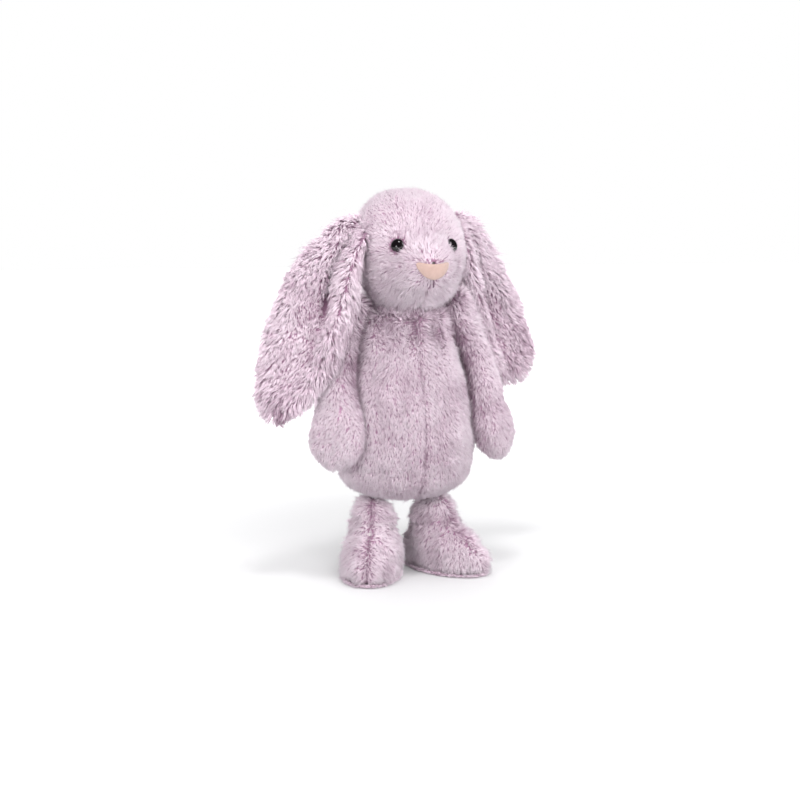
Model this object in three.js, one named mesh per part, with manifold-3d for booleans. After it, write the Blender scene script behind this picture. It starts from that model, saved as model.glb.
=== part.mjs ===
// Long-eared plush bunny, standing, soft lilac fur.
// Millimetres, +Z up. The toy faces -Y, its own right side is -X.
// The floor is z = 0 and the origin lies under the middle of the bounding box.
import * as THREE from 'three';
import { mergeVertices } from 'three/addons/utils/BufferGeometryUtils.js';
import Module from 'manifold-3d';

// ------------------------------------------------------------------ driving dimensions
const PILE = 2.0;            // how far the solids stay inside the tips of the fur
const SKIN = 3.0;            // sewn fur fabric, laid flat pile included
const GAP = 0.4;             // clearance between neighbouring pieces

// body: height, half width, depth to the front, depth to the back
const BODY = [
  [57.5, 0, 0, 0], [61.6, 30.6, 27.5, 28.6], [69.8, 44.9, 40.8, 41.8], [86.1, 55.1, 50.0, 51.0],
  [106.5, 58.6, 53.0, 52.0], [131.0, 57.1, 51.0, 50.0], [154.4, 52.0, 45.9, 43.9],
  [179.9, 43.9, 37.7, 36.7], [197.0, 38.0, 31.5, 33.0], [212.0, 32.5, 27.5, 29.0],
];
const BODY_LOW = 57.5;       // underside of the body
const BODY_ROUND = 86.1;     // where the underside starts to round in
const BODY_TOP = 211.5;      // shoulders
const SHOULDER_ROUND = 198.0;
const POUCH_TOP = 82.0;      // bead pouch fills the body up to here
const SIDE_SEAM_Y = 2.0;     // side seams between the front and the back panels

// head
const HEAD_C = [0, -15.3, 259.0];
const HEAD_HALF_WIDTH = 41.8;
const HEAD_FRONT = 34.0;
const HEAD_BACK = 43.9;
const HEAD_UP = 49.0;
const HEAD_DOWN = 46.9;
const HEAD_POWER = 2.15;
const MUZZLE_DIR = new THREE.Vector3(0, -0.955, -0.30).normalize();
const MUZZLE_OUT = 19.5;
const MUZZLE_SPREAD = 0.15;
const CROWN_LEAN = 0.22;     // the crown sits further back than the cheeks
const GUSSET_HALF = 15.0;    // half width of the strip over the forehead and crown

// eyes, nose
const EYE_X = 22.0, EYE_Z = 261.7;
const EYE_R = 5.2, EYE_DOME = 4.2, EYE_SINK = 1.2;
const SHANK_R = 1.5, SHANK_LEN = 7.0;
const WASHER_R = 5.2, WASHER_TOP = -4.6, WASHER_T = 1.2;
const NOSE_Z = 243.2, NOSE_HALF = 13.2, NOSE_UP = 6.2, NOSE_DOWN = 7.0;
const NOSE_T = 1.3;

// neck: a ball of stuffing that runs through the neck seam
const NECK_C = [0, -6.0, 211.0];
const NECK_R = 20.0;

// ears: position along the ear, centre x, y, z, half width, half thickness
const EAR_R = [
  [0.0, -39.0, -9.2, 280.0, 9.0, 9.0], [0.12, -48.5, -10.6, 268.0, 17.0, 10.8], [0.28, -67.0, -15.8, 245.0, 23.5, 11.2],
  [0.40, -87.0, -20.5, 222.0, 20.0, 11.2], [0.52, -95.5, -22.5, 203.0, 20.5, 11.2], [0.73, -102.5, -21.0, 172.8, 23.5, 10.7],
  [0.88, -107.0, -18.3, 149.3, 22.5, 10.2], [1.0, -110.6, -16.3, 127.4, 18.0, 9.2],
];
const EAR_L = [
  [0.0, 39.0, -7.6, 281.0, 9.0, 9.0], [0.12, 48.0, -3.6, 270.0, 17.0, 10.8], [0.3, 63.3, 9.2, 246.2, 24.5, 11.2],
  [0.52, 83.2, 24.0, 212.6, 29.6, 11.2], [0.73, 95.9, 26.0, 181.4, 31.0, 10.7],
  [0.88, 103.6, 25.4, 160.5, 28.6, 10.2], [1.0, 107.4, 24.4, 142.0, 22.4, 9.2],
];
const EAR_PIVOT = { R: [-46.0, -9.5, 272.5], L: [46.0, -5.5, 273.5] };
const EAR_ROOT_R = 10.5;
const EAR_FACE = { R: [-0.30, -0.95, 0.0], L: [0.10, -1.0, 0.0] };

// arms: position along the arm, centre x, y, z, half width, half thickness (right arm, left is mirrored)
const ARM = [
  [0.0, -41.5, -2.6, 218.0, 11.6, 11.6], [0.14, -47.8, -3.4, 203.5, 13.3, 12.8], [0.4, -58.6, -11.2, 171.8, 14.8, 13.8],
  [0.65, -64.3, -19.4, 139.1, 17.3, 14.8], [0.85, -68.0, -26.0, 112.6, 22.4, 15.3], [1.0, -69.6, -29.0, 88.1, 21.4, 14.3],
];
const ARM_FACE = [-0.358, -0.9336, 0];
const ARM_PIVOT = [-47.8, -3.4, 204.0];
const ARM_SWING = 70;        // degrees, forwards and up

// legs: height, centre ahead of the ankle, half width, half length
const LEG = [
  [0.0, 12.2, 23.5, 38.8], [3.1, 13.3, 26.0, 41.8], [12.2, 13.3, 27.0, 42.8], [24.5, 8.8, 25.3, 37.0],
  [34.0, 3.2, 22.8, 28.5], [42.0, 0.0, 22.0, 22.0], [52.0, 0.0, 22.0, 22.0], [62.4, 0.0, 22.0, 22.0],
];
const ANKLE = [26.5, -2.0];
const HIP_Z = 42.0;
const HIP_R = 20.0;
const SPLAY = 26.0;          // degrees, toes outwards
const LEG_SWING = 60;        // degrees, forwards
const LEG_BACK = 20;         // degrees, backwards
const SOLE_T = 2.6;
const BEANS_TOP = 15.0;      // beads in the foot up to this height

// tail
const TAIL_C = [0, 58.0, 86.0];
const TAIL_R = 15.5;

// ------------------------------------------------------------------ small tools
const wasm = await Module();
wasm.setup();
const rad = THREE.MathUtils.degToRad;

// smooth curve through a table of [t, a, b, ...]
function along(table, t) {
  const n = table.length, k = table[0].length - 1;
  const x = table.map((r) => r[0]);
  const tc = Math.min(Math.max(t, x[0]), x[n - 1]);
  let i = 0;
  while (i < n - 2 && tc > x[i + 1]) i++;
  const h = x[i + 1] - x[i], u = (tc - x[i]) / h, out = [];
  const slope = (j, c) => {
    const d = (q) => (table[q + 1][c] - table[q][c]) / (x[q + 1] - x[q]);
    if (j === 0) return d(0);
    if (j === n - 1) return d(n - 2);
    const w1 = x[j + 1] - x[j], w2 = x[j] - x[j - 1];
    return (d(j - 1) * w1 + d(j) * w2) / (w1 + w2);
  };
  for (let c = 1; c <= k; c++) {
    const y0 = table[i][c], y1 = table[i + 1][c], m0 = slope(i, c), m1 = slope(i + 1, c);
    out.push(y0 * (1 + 2 * u) * (1 - u) ** 2 + m0 * h * u * (1 - u) ** 2 + y1 * u * u * (3 - 2 * u) + m1 * h * u * u * (u - 1));
  }
  return out;
}

function solid(geometry) {
  let g = geometry.clone();
  for (const a of ['normal', 'uv']) if (g.getAttribute(a)) g.deleteAttribute(a);
  g = mergeVertices(g, 1e-4);
  return new wasm.Manifold(new wasm.Mesh({
    numProp: 3, vertProperties: new Float32Array(g.attributes.position.array), triVerts: new Uint32Array(g.index.array),
  }));
}

function geometryOf(man) {
  const m = man.getMesh();
  const g = new THREE.BufferGeometry();
  const pos = new Float32Array((m.vertProperties.length / m.numProp) * 3);
  for (let i = 0; i < pos.length / 3; i++) for (let c = 0; c < 3; c++) pos[3 * i + c] = m.vertProperties[m.numProp * i + c];
  g.setAttribute('position', new THREE.BufferAttribute(pos, 3));
  g.setIndex(new THREE.BufferAttribute(new Uint32Array(m.triVerts), 1));
  g.computeVertexNormals();
  return g;
}

// a sphere whose every vertex is moved: round(cx, cy, s) where cx, cy lie on the unit circle
// and s runs from 0 at the start of the solid to 1 at its end
function shaped(seg, rings, place) {
  const g = new THREE.SphereGeometry(1, seg, rings);
  const p = g.attributes.position;
  for (let i = 0; i < p.count; i++) {
    const x = p.getX(i), y = -p.getZ(i), z = p.getY(i);
    const r = Math.hypot(x, y);
    const s = (z + 1) / 2;
    const q = r < 1e-6 ? place(0, 0, s < 0.5 ? 0 : 1, true) : place(x / r, y / r, s, false);
    p.setXYZ(i, q[0], q[1], q[2]);
  }
  return g;
}

const box = (x0, x1, y0, y1, z0, z1) => {
  const g = new THREE.BoxGeometry(x1 - x0, y1 - y0, z1 - z0);
  g.translate((x0 + x1) / 2, (y0 + y1) / 2, (z0 + z1) / 2);
  return g;
};
const ball = (c, r, seg = 24, rings = 14) => {
  const g = new THREE.SphereGeometry(r, seg, rings);
  g.rotateX(Math.PI / 2);
  g.translate(c[0], c[1], c[2]);
  return g;
};
const FAR = 400;

// geometry turned by deg about an axis through a point
function turned(g, point, axis, deg) {
  const m = new THREE.Matrix4().makeTranslation(point[0], point[1], point[2])
    .multiply(new THREE.Matrix4().makeRotationAxis(new THREE.Vector3(...axis).normalize(), rad(deg)))
    .multiply(new THREE.Matrix4().makeTranslation(-point[0], -point[1], -point[2]));
  return g.clone().applyMatrix4(m);
}
const mirrored = (man) => {
  // reflect in the plane x = 0 and turn the faces right way out again
  const g = geometryOf(man);
  const p = g.attributes.position, ix = g.index.array;
  for (let i = 0; i < p.count; i++) p.setX(i, -p.getX(i));
  for (let i = 0; i < ix.length; i += 3) { const t = ix[i]; ix[i] = ix[i + 1]; ix[i + 1] = t; }
  g.deleteAttribute('normal');
  return solid(g);
};

// ------------------------------------------------------------------ colours
const FUR = { color: 0xd2bdcd, roughness: 0.95, metalness: 0.0 };
const LINING = { color: 0xc9b3c5, roughness: 0.95, metalness: 0.0 };
const STUFFING = { color: 0xf2f0ec, roughness: 1.0, metalness: 0.0 };
const CLOTH = { color: 0xe9e4e6, roughness: 0.9, metalness: 0.0 };
const EYE = { color: 0x0b0a0c, roughness: 0.08, metalness: 0.0 };
const WASHER = { color: 0xe8e8ea, roughness: 0.5, metalness: 0.0 };
const SUEDE = { color: 0xe3c3b8, roughness: 0.85, metalness: 0.0 };
const THREAD = { color: 0x7a5a70, roughness: 0.8, metalness: 0.0 };

const bunny = new THREE.Group();
function add(name, man, look) {
  const mesh = new THREE.Mesh(geometryOf(man), new THREE.MeshStandardMaterial(look));
  mesh.name = name;
  bunny.add(mesh);
  return mesh;
}

// ------------------------------------------------------------------ body
function bodyGeo(inset, seg, rings) {
  const z0 = BODY_LOW + inset, z1 = BODY_TOP - inset;
  const lowR = along(BODY, BODY_ROUND), topR = along(BODY, SHOULDER_ROUND);
  return shaped(seg, rings, (cx, cy, s, pole) => {
    const z = z0 + (z1 - z0) * s;
    if (pole) return [0, 0, z];
    let r = along(BODY, z), k = 1;
    if (z < BODY_ROUND) { r = lowR; k = Math.sqrt(Math.max(0, 1 - ((BODY_ROUND - z) / (BODY_ROUND - z0)) ** 2.3)); }
    if (z > SHOULDER_ROUND) { r = topR; k = Math.sqrt(Math.max(0, 1 - ((z - SHOULDER_ROUND) / (z1 - SHOULDER_ROUND)) ** 2.6)); }
    const deep = cy > 0 ? r[2] : r[1];
    return [(r[0] - inset) * k * Math.sign(cx) * Math.abs(cx) ** 0.93, (deep - inset) * k * Math.sign(cy) * Math.abs(cy) ** 0.93, z];
  });
}
const BODY_SEG = 24, BODY_RINGS = 14, BODY_SEG_IN = 16, BODY_RINGS_IN = 9;
const hipOf = (side) => [side * ANKLE[0], ANKLE[1], HIP_Z];
const neckHole = (r) => solid(ball(NECK_C, r + 0.4, 18, 10));
function openBody(man, grow) {
  let b = man.subtract(neckHole(NECK_R + GAP + grow));
  for (const side of [-1, 1]) b = b.subtract(solid(ball(hipOf(side), HIP_R + GAP + grow + 0.3, 18, 10)));
  return b;
}
{
  const skin = openBody(solid(bodyGeo(PILE, BODY_SEG, BODY_RINGS)).subtract(solid(bodyGeo(PILE + SKIN, BODY_SEG_IN, BODY_RINGS_IN))), 0);
  const h = GAP / 2, y = SIDE_SEAM_Y;
  const quarter = (x0, x1, y0, y1) => skin.intersect(solid(box(x0, x1, y0, y1, 0, FAR)));
  add('body_panel_front_right', quarter(-FAR, -h, -FAR, y - h), FUR);
  add('body_panel_front_left', quarter(h, FAR, -FAR, y - h), FUR);
  add('body_panel_back_right', quarter(-FAR, -h, y + h, FAR), FUR);
  add('body_panel_back_left', quarter(h, FAR, y + h, FAR), FUR);
  const core = openBody(solid(bodyGeo(PILE + SKIN + GAP, BODY_SEG_IN, BODY_RINGS_IN)), 0);
  add('body_filling', core.intersect(solid(box(-FAR, FAR, -FAR, FAR, POUCH_TOP + GAP, FAR))), STUFFING);
  add('bead_pouch', core.intersect(solid(box(-FAR, FAR, -FAR, FAR, 0, POUCH_TOP))), CLOTH);
  add('neck_filling', solid(ball(NECK_C, NECK_R, 16, 9)), STUFFING);
}

// ------------------------------------------------------------------ head
function headRadius(d) {
  const ay = d.y < 0 ? HEAD_FRONT : HEAD_BACK, az = d.z > 0 ? HEAD_UP : HEAD_DOWN, p = HEAD_POWER;
  const r = 1 / (Math.abs(d.x / HEAD_HALF_WIDTH) ** p + Math.abs(d.y / ay) ** p + Math.abs(d.z / az) ** p) ** (1 / p);
  const g = Math.max(0, d.dot(MUZZLE_DIR));
  return r + MUZZLE_OUT * Math.exp(-(1 - g) / MUZZLE_SPREAD);
}
function headPoint(d, inset) {
  const r = headRadius(d) - inset;
  const q = [HEAD_C[0] + d.x * r, HEAD_C[1] + d.y * r, HEAD_C[2] + d.z * r];
  q[1] += CROWN_LEAN * Math.max(0, q[2] - HEAD_C[2]);
  return q;
}
function headGeo(inset, seg, rings) {
  const g = new THREE.SphereGeometry(1, seg, rings);
  const p = g.attributes.position, d = new THREE.Vector3();
  for (let i = 0; i < p.count; i++) {
    d.set(p.getX(i), -p.getZ(i), p.getY(i)).normalize();
    const q = headPoint(d, inset);
    p.setXYZ(i, q[0], q[1], q[2]);
  }
  return g;
}
// place on the head's surface that lies at a given x and z on its front
function faceAt(x, z, inset) {
  let lo = -90, hi = 0;
  for (let i = 0; i < 40; i++) {
    const y = (lo + hi) / 2;
    const v = new THREE.Vector3(x - HEAD_C[0], y - CROWN_LEAN * Math.max(0, z - HEAD_C[2]) - HEAD_C[1], z - HEAD_C[2]);
    const out = v.length() > headRadius(v.clone().normalize()) - inset;
    if (out) lo = y; else hi = y;
  }
  return new THREE.Vector3(x, (lo + hi) / 2, z);
}
function faceFrame(x, z, inset) {
  const p = faceAt(x, z, inset), e = 3;
  const a = faceAt(x + e, z, inset).sub(faceAt(x - e, z, inset));
  const b = faceAt(x, z + e, inset).sub(faceAt(x, z - e, inset));
  const n = new THREE.Vector3().crossVectors(a, b).normalize();      // points forwards, out of the face
  if (n.y > 0) n.negate();
  return { p, n };
}
const HEAD_SEG = 22, HEAD_RINGS = 14, HEAD_SEG_IN = 14, HEAD_RINGS_IN = 9;
const eyeFrames = [-1, 1].map((side) => faceFrame(side * EYE_X, EYE_Z, PILE + EYE_SINK));
function onFace(geo, f) {
  const m = new THREE.Matrix4().compose(f.p, new THREE.Quaternion().setFromUnitVectors(new THREE.Vector3(0, 0, 1), f.n), new THREE.Vector3(1, 1, 1));
  return geo.clone().applyMatrix4(m);
}
// lathe profile in (radius, height) turned about the local Z axis
function lathe(profile, seg) {
  const g = new THREE.LatheGeometry(profile.map((q) => new THREE.Vector2(q[0], q[1])), seg);
  g.rotateX(Math.PI / 2);
  return g;
}
function latheSolid(profile, seg) {
  const man = solid(lathe(profile, seg));
  return man;
}
{
  const sockets = (man, grow) => {
    let m = man.subtract(neckHole(NECK_R + GAP + grow));
    for (const k of ['R', 'L']) m = m.subtract(solid(ball(EAR_PIVOT[k], EAR_ROOT_R + GAP + grow, 14, 8)));
    return m;
  };
  let skin = sockets(solid(headGeo(PILE, HEAD_SEG, HEAD_RINGS)).subtract(solid(headGeo(PILE + SKIN, HEAD_SEG_IN, HEAD_RINGS_IN))), 0);
  let core = sockets(solid(headGeo(PILE + SKIN + GAP, HEAD_SEG_IN, HEAD_RINGS_IN)), 0);
  const dome = [];
  for (let i = 0; i <= 5; i++) { const a = (Math.PI / 2) * (i / 5); dome.push([EYE_R * Math.cos(a), 0.8 + (EYE_DOME - 0.8) * Math.sin(a)]); }
  dome[5][0] = 0;
  const eyeProfile = [[0, -SHANK_LEN], [SHANK_R, -SHANK_LEN], [SHANK_R, 0], [EYE_R, 0], ...dome];
  const eyeRoom = [[0, -SHANK_LEN - 0.4], [SHANK_R + 0.4, -SHANK_LEN - 0.4], [SHANK_R + 0.4, -0.35], [EYE_R + 0.6, -0.35], [EYE_R + 0.6, 9], [0, 9]];
  const washerRoom = [[0, WASHER_TOP - WASHER_T - 0.4], [WASHER_R + 0.4, WASHER_TOP - WASHER_T - 0.4], [WASHER_R + 0.4, WASHER_TOP + 2.5], [0, WASHER_TOP + 2.5]];
  const washer = [[SHANK_R + 0.35, WASHER_TOP - WASHER_T], [WASHER_R, WASHER_TOP - WASHER_T], [WASHER_R, WASHER_TOP], [SHANK_R + 0.35, WASHER_TOP], [SHANK_R + 0.35, WASHER_TOP - WASHER_T]];
  eyeFrames.forEach((f, i) => {
    const side = i === 0 ? 'right' : 'left';
    skin = skin.subtract(solid(onFace(lathe(eyeRoom, 12), f)));
    core = core.subtract(solid(onFace(lathe(eyeRoom, 12), f))).subtract(solid(onFace(lathe(washerRoom, 12), f)));
    add(`eye_${side}`, solid(onFace(lathe(eyeProfile, 16), f)), EYE);
    add(`eye_washer_${side}`, solid(onFace(lathe(washer, 14), f)), WASHER);
  });
  // gusset: strip from above the nose over the crown to the nape; the two sides meet below it
  const strip = (half, drop) => {
    const s = new THREE.Shape();
    s.moveTo(-90, NOSE_Z + 6.6 + drop); s.lineTo(70, 236 + drop); s.lineTo(70, 340); s.lineTo(-90, 340); s.closePath();
    const g = new THREE.ExtrudeGeometry(s, { depth: 2 * half, bevelEnabled: false });
    // profile drawn in (y, z), pushed along x
    const m = new THREE.Matrix4().set(0, 0, 1, -half, 1, 0, 0, 0, 0, 1, 0, 0, 0, 0, 0, 1);
    return g.applyMatrix4(m);
  };
  add('head_gusset', skin.intersect(solid(strip(GUSSET_HALF, 0))), FUR);
  const cheeks = skin.subtract(solid(strip(GUSSET_HALF + GAP, -GAP)));
  add('head_side_right', cheeks.intersect(solid(box(-FAR, -GAP / 2, -FAR, FAR, 0, FAR))), FUR);
  add('head_side_left', cheeks.intersect(solid(box(GAP / 2, FAR, -FAR, FAR, 0, FAR))), FUR);
  add('head_filling', core, STUFFING);

  // nose: a rounded, nearly flat-topped patch that follows the muzzle
  const o = new THREE.Shape();
  o.moveTo(-NOSE_HALF + 1.5, NOSE_UP);
  o.quadraticCurveTo(0, NOSE_UP - 1.6, NOSE_HALF - 1.5, NOSE_UP);
  o.quadraticCurveTo(NOSE_HALF + 0.9, NOSE_UP - 0.6, NOSE_HALF - 0.7, NOSE_UP - 4.2);
  o.quadraticCurveTo(NOSE_HALF - 4.6, -NOSE_DOWN, 0, -NOSE_DOWN);
  o.quadraticCurveTo(-NOSE_HALF + 4.6, -NOSE_DOWN, -NOSE_HALF + 0.7, NOSE_UP - 4.2);
  o.quadraticCurveTo(-NOSE_HALF - 0.9, NOSE_UP - 0.6, -NOSE_HALF + 1.5, NOSE_UP);
  const cutter = new THREE.ExtrudeGeometry(o, { depth: 60, bevelEnabled: false, curveSegments: 5 });
  cutter.applyMatrix4(new THREE.Matrix4().set(1, 0, 0, 0, 0, 0, -1, -30, 0, 1, 0, NOSE_Z, 0, 0, 0, 1));
  const patch = solid(headGeo(PILE - GAP - NOSE_T, HEAD_SEG, HEAD_RINGS)).subtract(solid(headGeo(PILE - GAP, HEAD_SEG, HEAD_RINGS)));
  add('nose_patch', patch.intersect(solid(cutter)), SUEDE);
  const st = faceFrame(1.2, NOSE_Z - NOSE_DOWN - 4.2, PILE - 1.1);
  const stitch = new THREE.CapsuleGeometry(0.6, 5.0, 3, 8);
  stitch.rotateX(Math.PI / 2);
  stitch.rotateY(rad(-14));
  const slope = faceAt(1.2, NOSE_Z - NOSE_DOWN - 1.5, PILE - 1.1).sub(faceAt(1.2, NOSE_Z - NOSE_DOWN - 7, PILE - 1.1));
  stitch.rotateX(-Math.atan2(-slope.y, slope.z) * -1);
  stitch.translate(st.p.x, st.p.y, st.p.z);
  add('mouth_stitch', solid(stitch), THREAD);
}

// ------------------------------------------------------------------ lofts along a curved spine
// N is the direction the broad face looks in, S runs across the width
function frameAt(table, face, s) {
  const e = 0.004;
  const p = new THREE.Vector3(...along(table, s).slice(0, 3));
  const t = new THREE.Vector3(...along(table, Math.min(1, s + e)).slice(0, 3)).sub(new THREE.Vector3(...along(table, Math.max(0, s - e)).slice(0, 3))).normalize();
  const n = new THREE.Vector3(...face);
  n.addScaledVector(t, -n.dot(t)).normalize();
  const w = new THREE.Vector3().crossVectors(n, t);
  return { p, t, n, w };
}
function spineLength(table) {
  let len = 0, a = new THREE.Vector3(...along(table, 0).slice(0, 3));
  for (let i = 1; i <= 40; i++) { const b = new THREE.Vector3(...along(table, i / 40).slice(0, 3)); len += a.distanceTo(b); a = b; }
  return len;
}
function capped(s, e0, e1, p0 = 2.2, p1 = 2.4) {
  let k = 1;
  if (s < e0) k *= Math.sqrt(Math.max(0, 1 - ((e0 - s) / e0) ** p0));
  if (s > 1 - e1) k *= Math.sqrt(Math.max(0, 1 - ((s - 1 + e1) / e1) ** p1));
  return k;
}

// ------------------------------------------------------------------ ears
// the two layers lie back to back; the hollow side faces forwards and its inner edge rolls over
function earGeo(table, face, layer, inner, seg, rings) {
  const len = spineLength(table), e = PILE / len;
  return shaped(seg, rings, (cx, cy, s0, pole) => {
    const s = e + (1 - 2 * e) * s0;
    const f = frameAt(table, face, s);
    const row = along(table, s);
    const k = pole ? 0 : capped(s0, 0.07, 0.15);
    const a = Math.max(0.4, row[3] - PILE) * k, b = Math.max(0.4, row[4] - PILE) * k;
    const u = cx * a;
    const h = GAP * (layer > 0 ? 1 : -1);
    let w = layer > 0 ? b * Math.max(0, cy) : b * Math.min(0, cy);
    const q = u / Math.max(row[3], 1) * inner;            // +1 at the edge next to the head
    const deep = Math.sin(Math.PI * Math.min(1, s * 1.05)) ** 0.7;
    if (layer > 0 && cy > 0) w *= 1 - 0.45 * deep * Math.exp(-(((q - 0.15) / 0.22) ** 2));   // crease beside the roll
    w += deep * (5.0 * Math.max(0, q - 0.1) ** 1.5 + 2.5 * Math.max(0, -q) ** 2);           // edges curl forwards
    const out = f.p.clone().addScaledVector(f.w, u).addScaledVector(f.n, w + h);
    return [out.x, out.y, out.z];
  });
}
const headBlock = solid(headGeo(PILE - GAP, HEAD_SEG, HEAD_RINGS)).subtract(solid(ball(EAR_PIVOT.R, EAR_ROOT_R, 14, 8))).subtract(solid(ball(EAR_PIVOT.L, EAR_ROOT_R, 14, 8)));
const headBlockGeo = geometryOf(headBlock);
for (const key of ['R', 'L']) {
  const side = key === 'R' ? 'right' : 'left', table = key === 'R' ? EAR_R : EAR_L;
  // the sign that turns "across the width" into "towards the head"
  const f = frameAt(table, EAR_FACE[key], 0.5);
  const inner = Math.sign(f.w.x) * (key === 'R' ? 1 : -1);
  const axis = key === 'R' ? [0, 1, 0] : [0, -1, 0];
  for (const [layer, name, look] of [[-1, 'ear_back', FUR], [1, 'ear_lining', LINING]]) {
    let m = solid(earGeo(table, EAR_FACE[key], layer, inner, 14, 11));
    for (const deg of [0, 20, 40, 60, 80, 100, 120]) m = m.subtract(solid(turned(headBlockGeo, EAR_PIVOT[key], axis, -deg)));
    add(`${name}_${side}`, m, look);
  }
}

// ------------------------------------------------------------------ arms
function armGeo(inset, seg, rings) {
  const len = spineLength(ARM);
  return shaped(seg, rings, (cx, cy, s0, pole) => {
    const s = (inset + (len - 2 * inset) * s0) / len;
    const f = frameAt(ARM, ARM_FACE, s), row = along(ARM, s);
    const k = pole ? 0 : capped(s0, 0.10, 0.19);
    const out = f.p.clone().addScaledVector(f.w, cx * (row[3] - inset) * k).addScaledVector(f.n, cy * (row[4] - inset) * k);
    return [out.x, out.y, out.z];
  });
}
function clearOf(man, blockGeo, pivot, axis, degs) {
  let m = man;
  for (const d of degs) m = m.subtract(solid(turned(blockGeo, pivot, axis, -d)));
  return m;
}
{
  const swing = [0, 10, 20, 30, 40, 55, ARM_SWING];
  const axis = [-1, 0, 0];
  const cut = (geo, room) => clearOf(solid(geo), bodyGeo(PILE - room, BODY_SEG, BODY_RINGS), ARM_PIVOT, axis, swing);
  const outer = cut(armGeo(PILE, 14, 11), 0.6);
  const inner = cut(armGeo(PILE + SKIN, 10, 8), 0.6 + SKIN);
  const fill = cut(armGeo(PILE + SKIN + GAP, 10, 8), 0.6 + SKIN + GAP);
  const skin = outer.subtract(inner);
  const f = frameAt(ARM, ARM_FACE, 0.6);
  // halves are cut by the plane that holds the spine and the width
  const half = (sign) => {
    const g = box(-FAR, FAR, -FAR, FAR, GAP / 2, FAR);
    const a = new THREE.Vector3(...along(ARM, 0.05).slice(0, 3)), b = new THREE.Vector3(...along(ARM, 0.95).slice(0, 3));
    const t = b.clone().sub(a).normalize();
    const n = new THREE.Vector3(...ARM_FACE); n.addScaledVector(t, -n.dot(t)).normalize().multiplyScalar(sign);
    const m = new THREE.Matrix4().makeBasis(new THREE.Vector3().crossVectors(t, n), t, n).setPosition(a.add(b).multiplyScalar(0.5).add(f.p.clone().sub(f.p)));
    return solid(g.applyMatrix4(m));
  };
  const front = skin.intersect(half(1)), back = skin.intersect(half(-1));
  add('arm_front_right', front, FUR);
  add('arm_back_right', back, FUR);
  add('arm_filling_right', fill, STUFFING);
  add('arm_front_left', mirrored(front), FUR);
  add('arm_back_left', mirrored(back), FUR);
  add('arm_filling_left', mirrored(fill), STUFFING);
}

// ------------------------------------------------------------------ legs with boot-shaped feet (left leg, right is mirrored)
function legGeo(inset, seg, rings) {
  const z0 = inset > PILE ? SOLE_T : 0, z1 = HIP_Z + HIP_R - Math.max(0, inset - PILE), turn = rad(SPLAY);
  const grow = Math.max(0, inset - PILE);
  return shaped(seg, rings, (cx, cy, s0, pole) => {
    // flat underside: the first rings spread out across the sole
    let z, k = 1;
    const s = s0;
    if (s < 0.02) { z = z0; k = pole ? 0 : 1; } else z = z0 + (z1 - z0) * (s - 0.02) / 0.98;
    const row = along(LEG, Math.max(z, inset > PILE ? 3.5 : 0));
    let a = row[1] - inset, b = row[2] - inset;
    let ahead = row[0];
    if (z > HIP_Z) {
      const r = HIP_R - grow, f = Math.sqrt(Math.max(0, 1 - ((z - HIP_Z) / r) ** 2));
      a = Math.min(a, r) * f; b = Math.min(b, r) * f; ahead *= f;
    } else { a = Math.min(a, 60); }
    if (pole) { a = 0; b = 0; if (s0 > 0.5) ahead = 0; }
    const x = cx * a * k, y = -ahead + cy * b * k;
    return [ANKLE[0] + x * Math.cos(turn) - y * Math.sin(turn), ANKLE[1] + x * Math.sin(turn) + y * Math.cos(turn), z];
  });
}
{
  const pivot = hipOf(1);
  const bodyBlock = (room) => geometryOf(openBody(solid(bodyGeo(PILE - room, BODY_SEG, BODY_RINGS)), -GAP));
  const degs = [-LEG_BACK, 0, 15, 30, 45, LEG_SWING];
  const outer = clearOf(solid(legGeo(PILE, 18, 14)), bodyBlock(0.5), pivot, [-1, 0, 0], degs);
  const inner = clearOf(solid(legGeo(PILE + SKIN, 12, 10)), bodyBlock(0.5 + SKIN), pivot, [-1, 0, 0], [0, 20, 40, 60]);
  const fill = clearOf(solid(legGeo(PILE + SKIN + GAP, 12, 10)), bodyBlock(0.5 + SKIN + GAP), pivot, [-1, 0, 0], [0, 20, 40, 60]);
  const sole = outer.intersect(solid(box(-FAR, FAR, -FAR, FAR, -5, SOLE_T)));
  const skin = outer.subtract(inner).intersect(solid(box(-FAR, FAR, -FAR, FAR, SOLE_T + GAP, FAR)));
  // halves meet along the line from heel to toe
  const half = (sign) => {
    const g = box(sign > 0 ? GAP / 2 : -FAR, sign > 0 ? FAR : -GAP / 2, -FAR, FAR, -10, FAR);
    g.rotateZ(rad(SPLAY));
    g.translate(ANKLE[0], ANKLE[1], 0);
    return solid(g);
  };
  const outside = skin.intersect(half(1)), inside = skin.intersect(half(-1));
  const stuff = fill.intersect(solid(box(-FAR, FAR, -FAR, FAR, BEANS_TOP + GAP, FAR)));
  const beans = fill.intersect(solid(box(-FAR, FAR, -FAR, FAR, SOLE_T + GAP, BEANS_TOP)));
  for (const [name, m, look] of [['leg_outer', outside, FUR], ['leg_inner', inside, FUR], ['foot_sole', sole, FUR], ['leg_filling', stuff, STUFFING], ['foot_beads', beans, CLOTH]]) {
    add(`${name}_left`, m, look);
    add(`${name}_right`, mirrored(m), look);
  }
}

// ------------------------------------------------------------------ tail
{
  const bodyRoom = solid(bodyGeo(PILE - GAP, BODY_SEG, BODY_RINGS));
  const outer = solid(ball(TAIL_C, TAIL_R - PILE, 16, 9));
  const inner = solid(ball(TAIL_C, TAIL_R - PILE - SKIN, 12, 7));
  add('tail_cover', outer.subtract(inner).subtract(bodyRoom), FUR);
  add('tail_filling', solid(ball(TAIL_C, TAIL_R - PILE - SKIN - GAP, 12, 7)).subtract(bodyRoom), STUFFING);
}

// ------------------------------------------------------------------ origin under the middle of the bounding box
const bounds = new THREE.Box3().setFromObject(bunny);
bunny.position.set(-(bounds.min.x + bounds.max.x) / 2, -(bounds.min.y + bounds.max.y) / 2, -bounds.min.z);

export default bunny;
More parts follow.
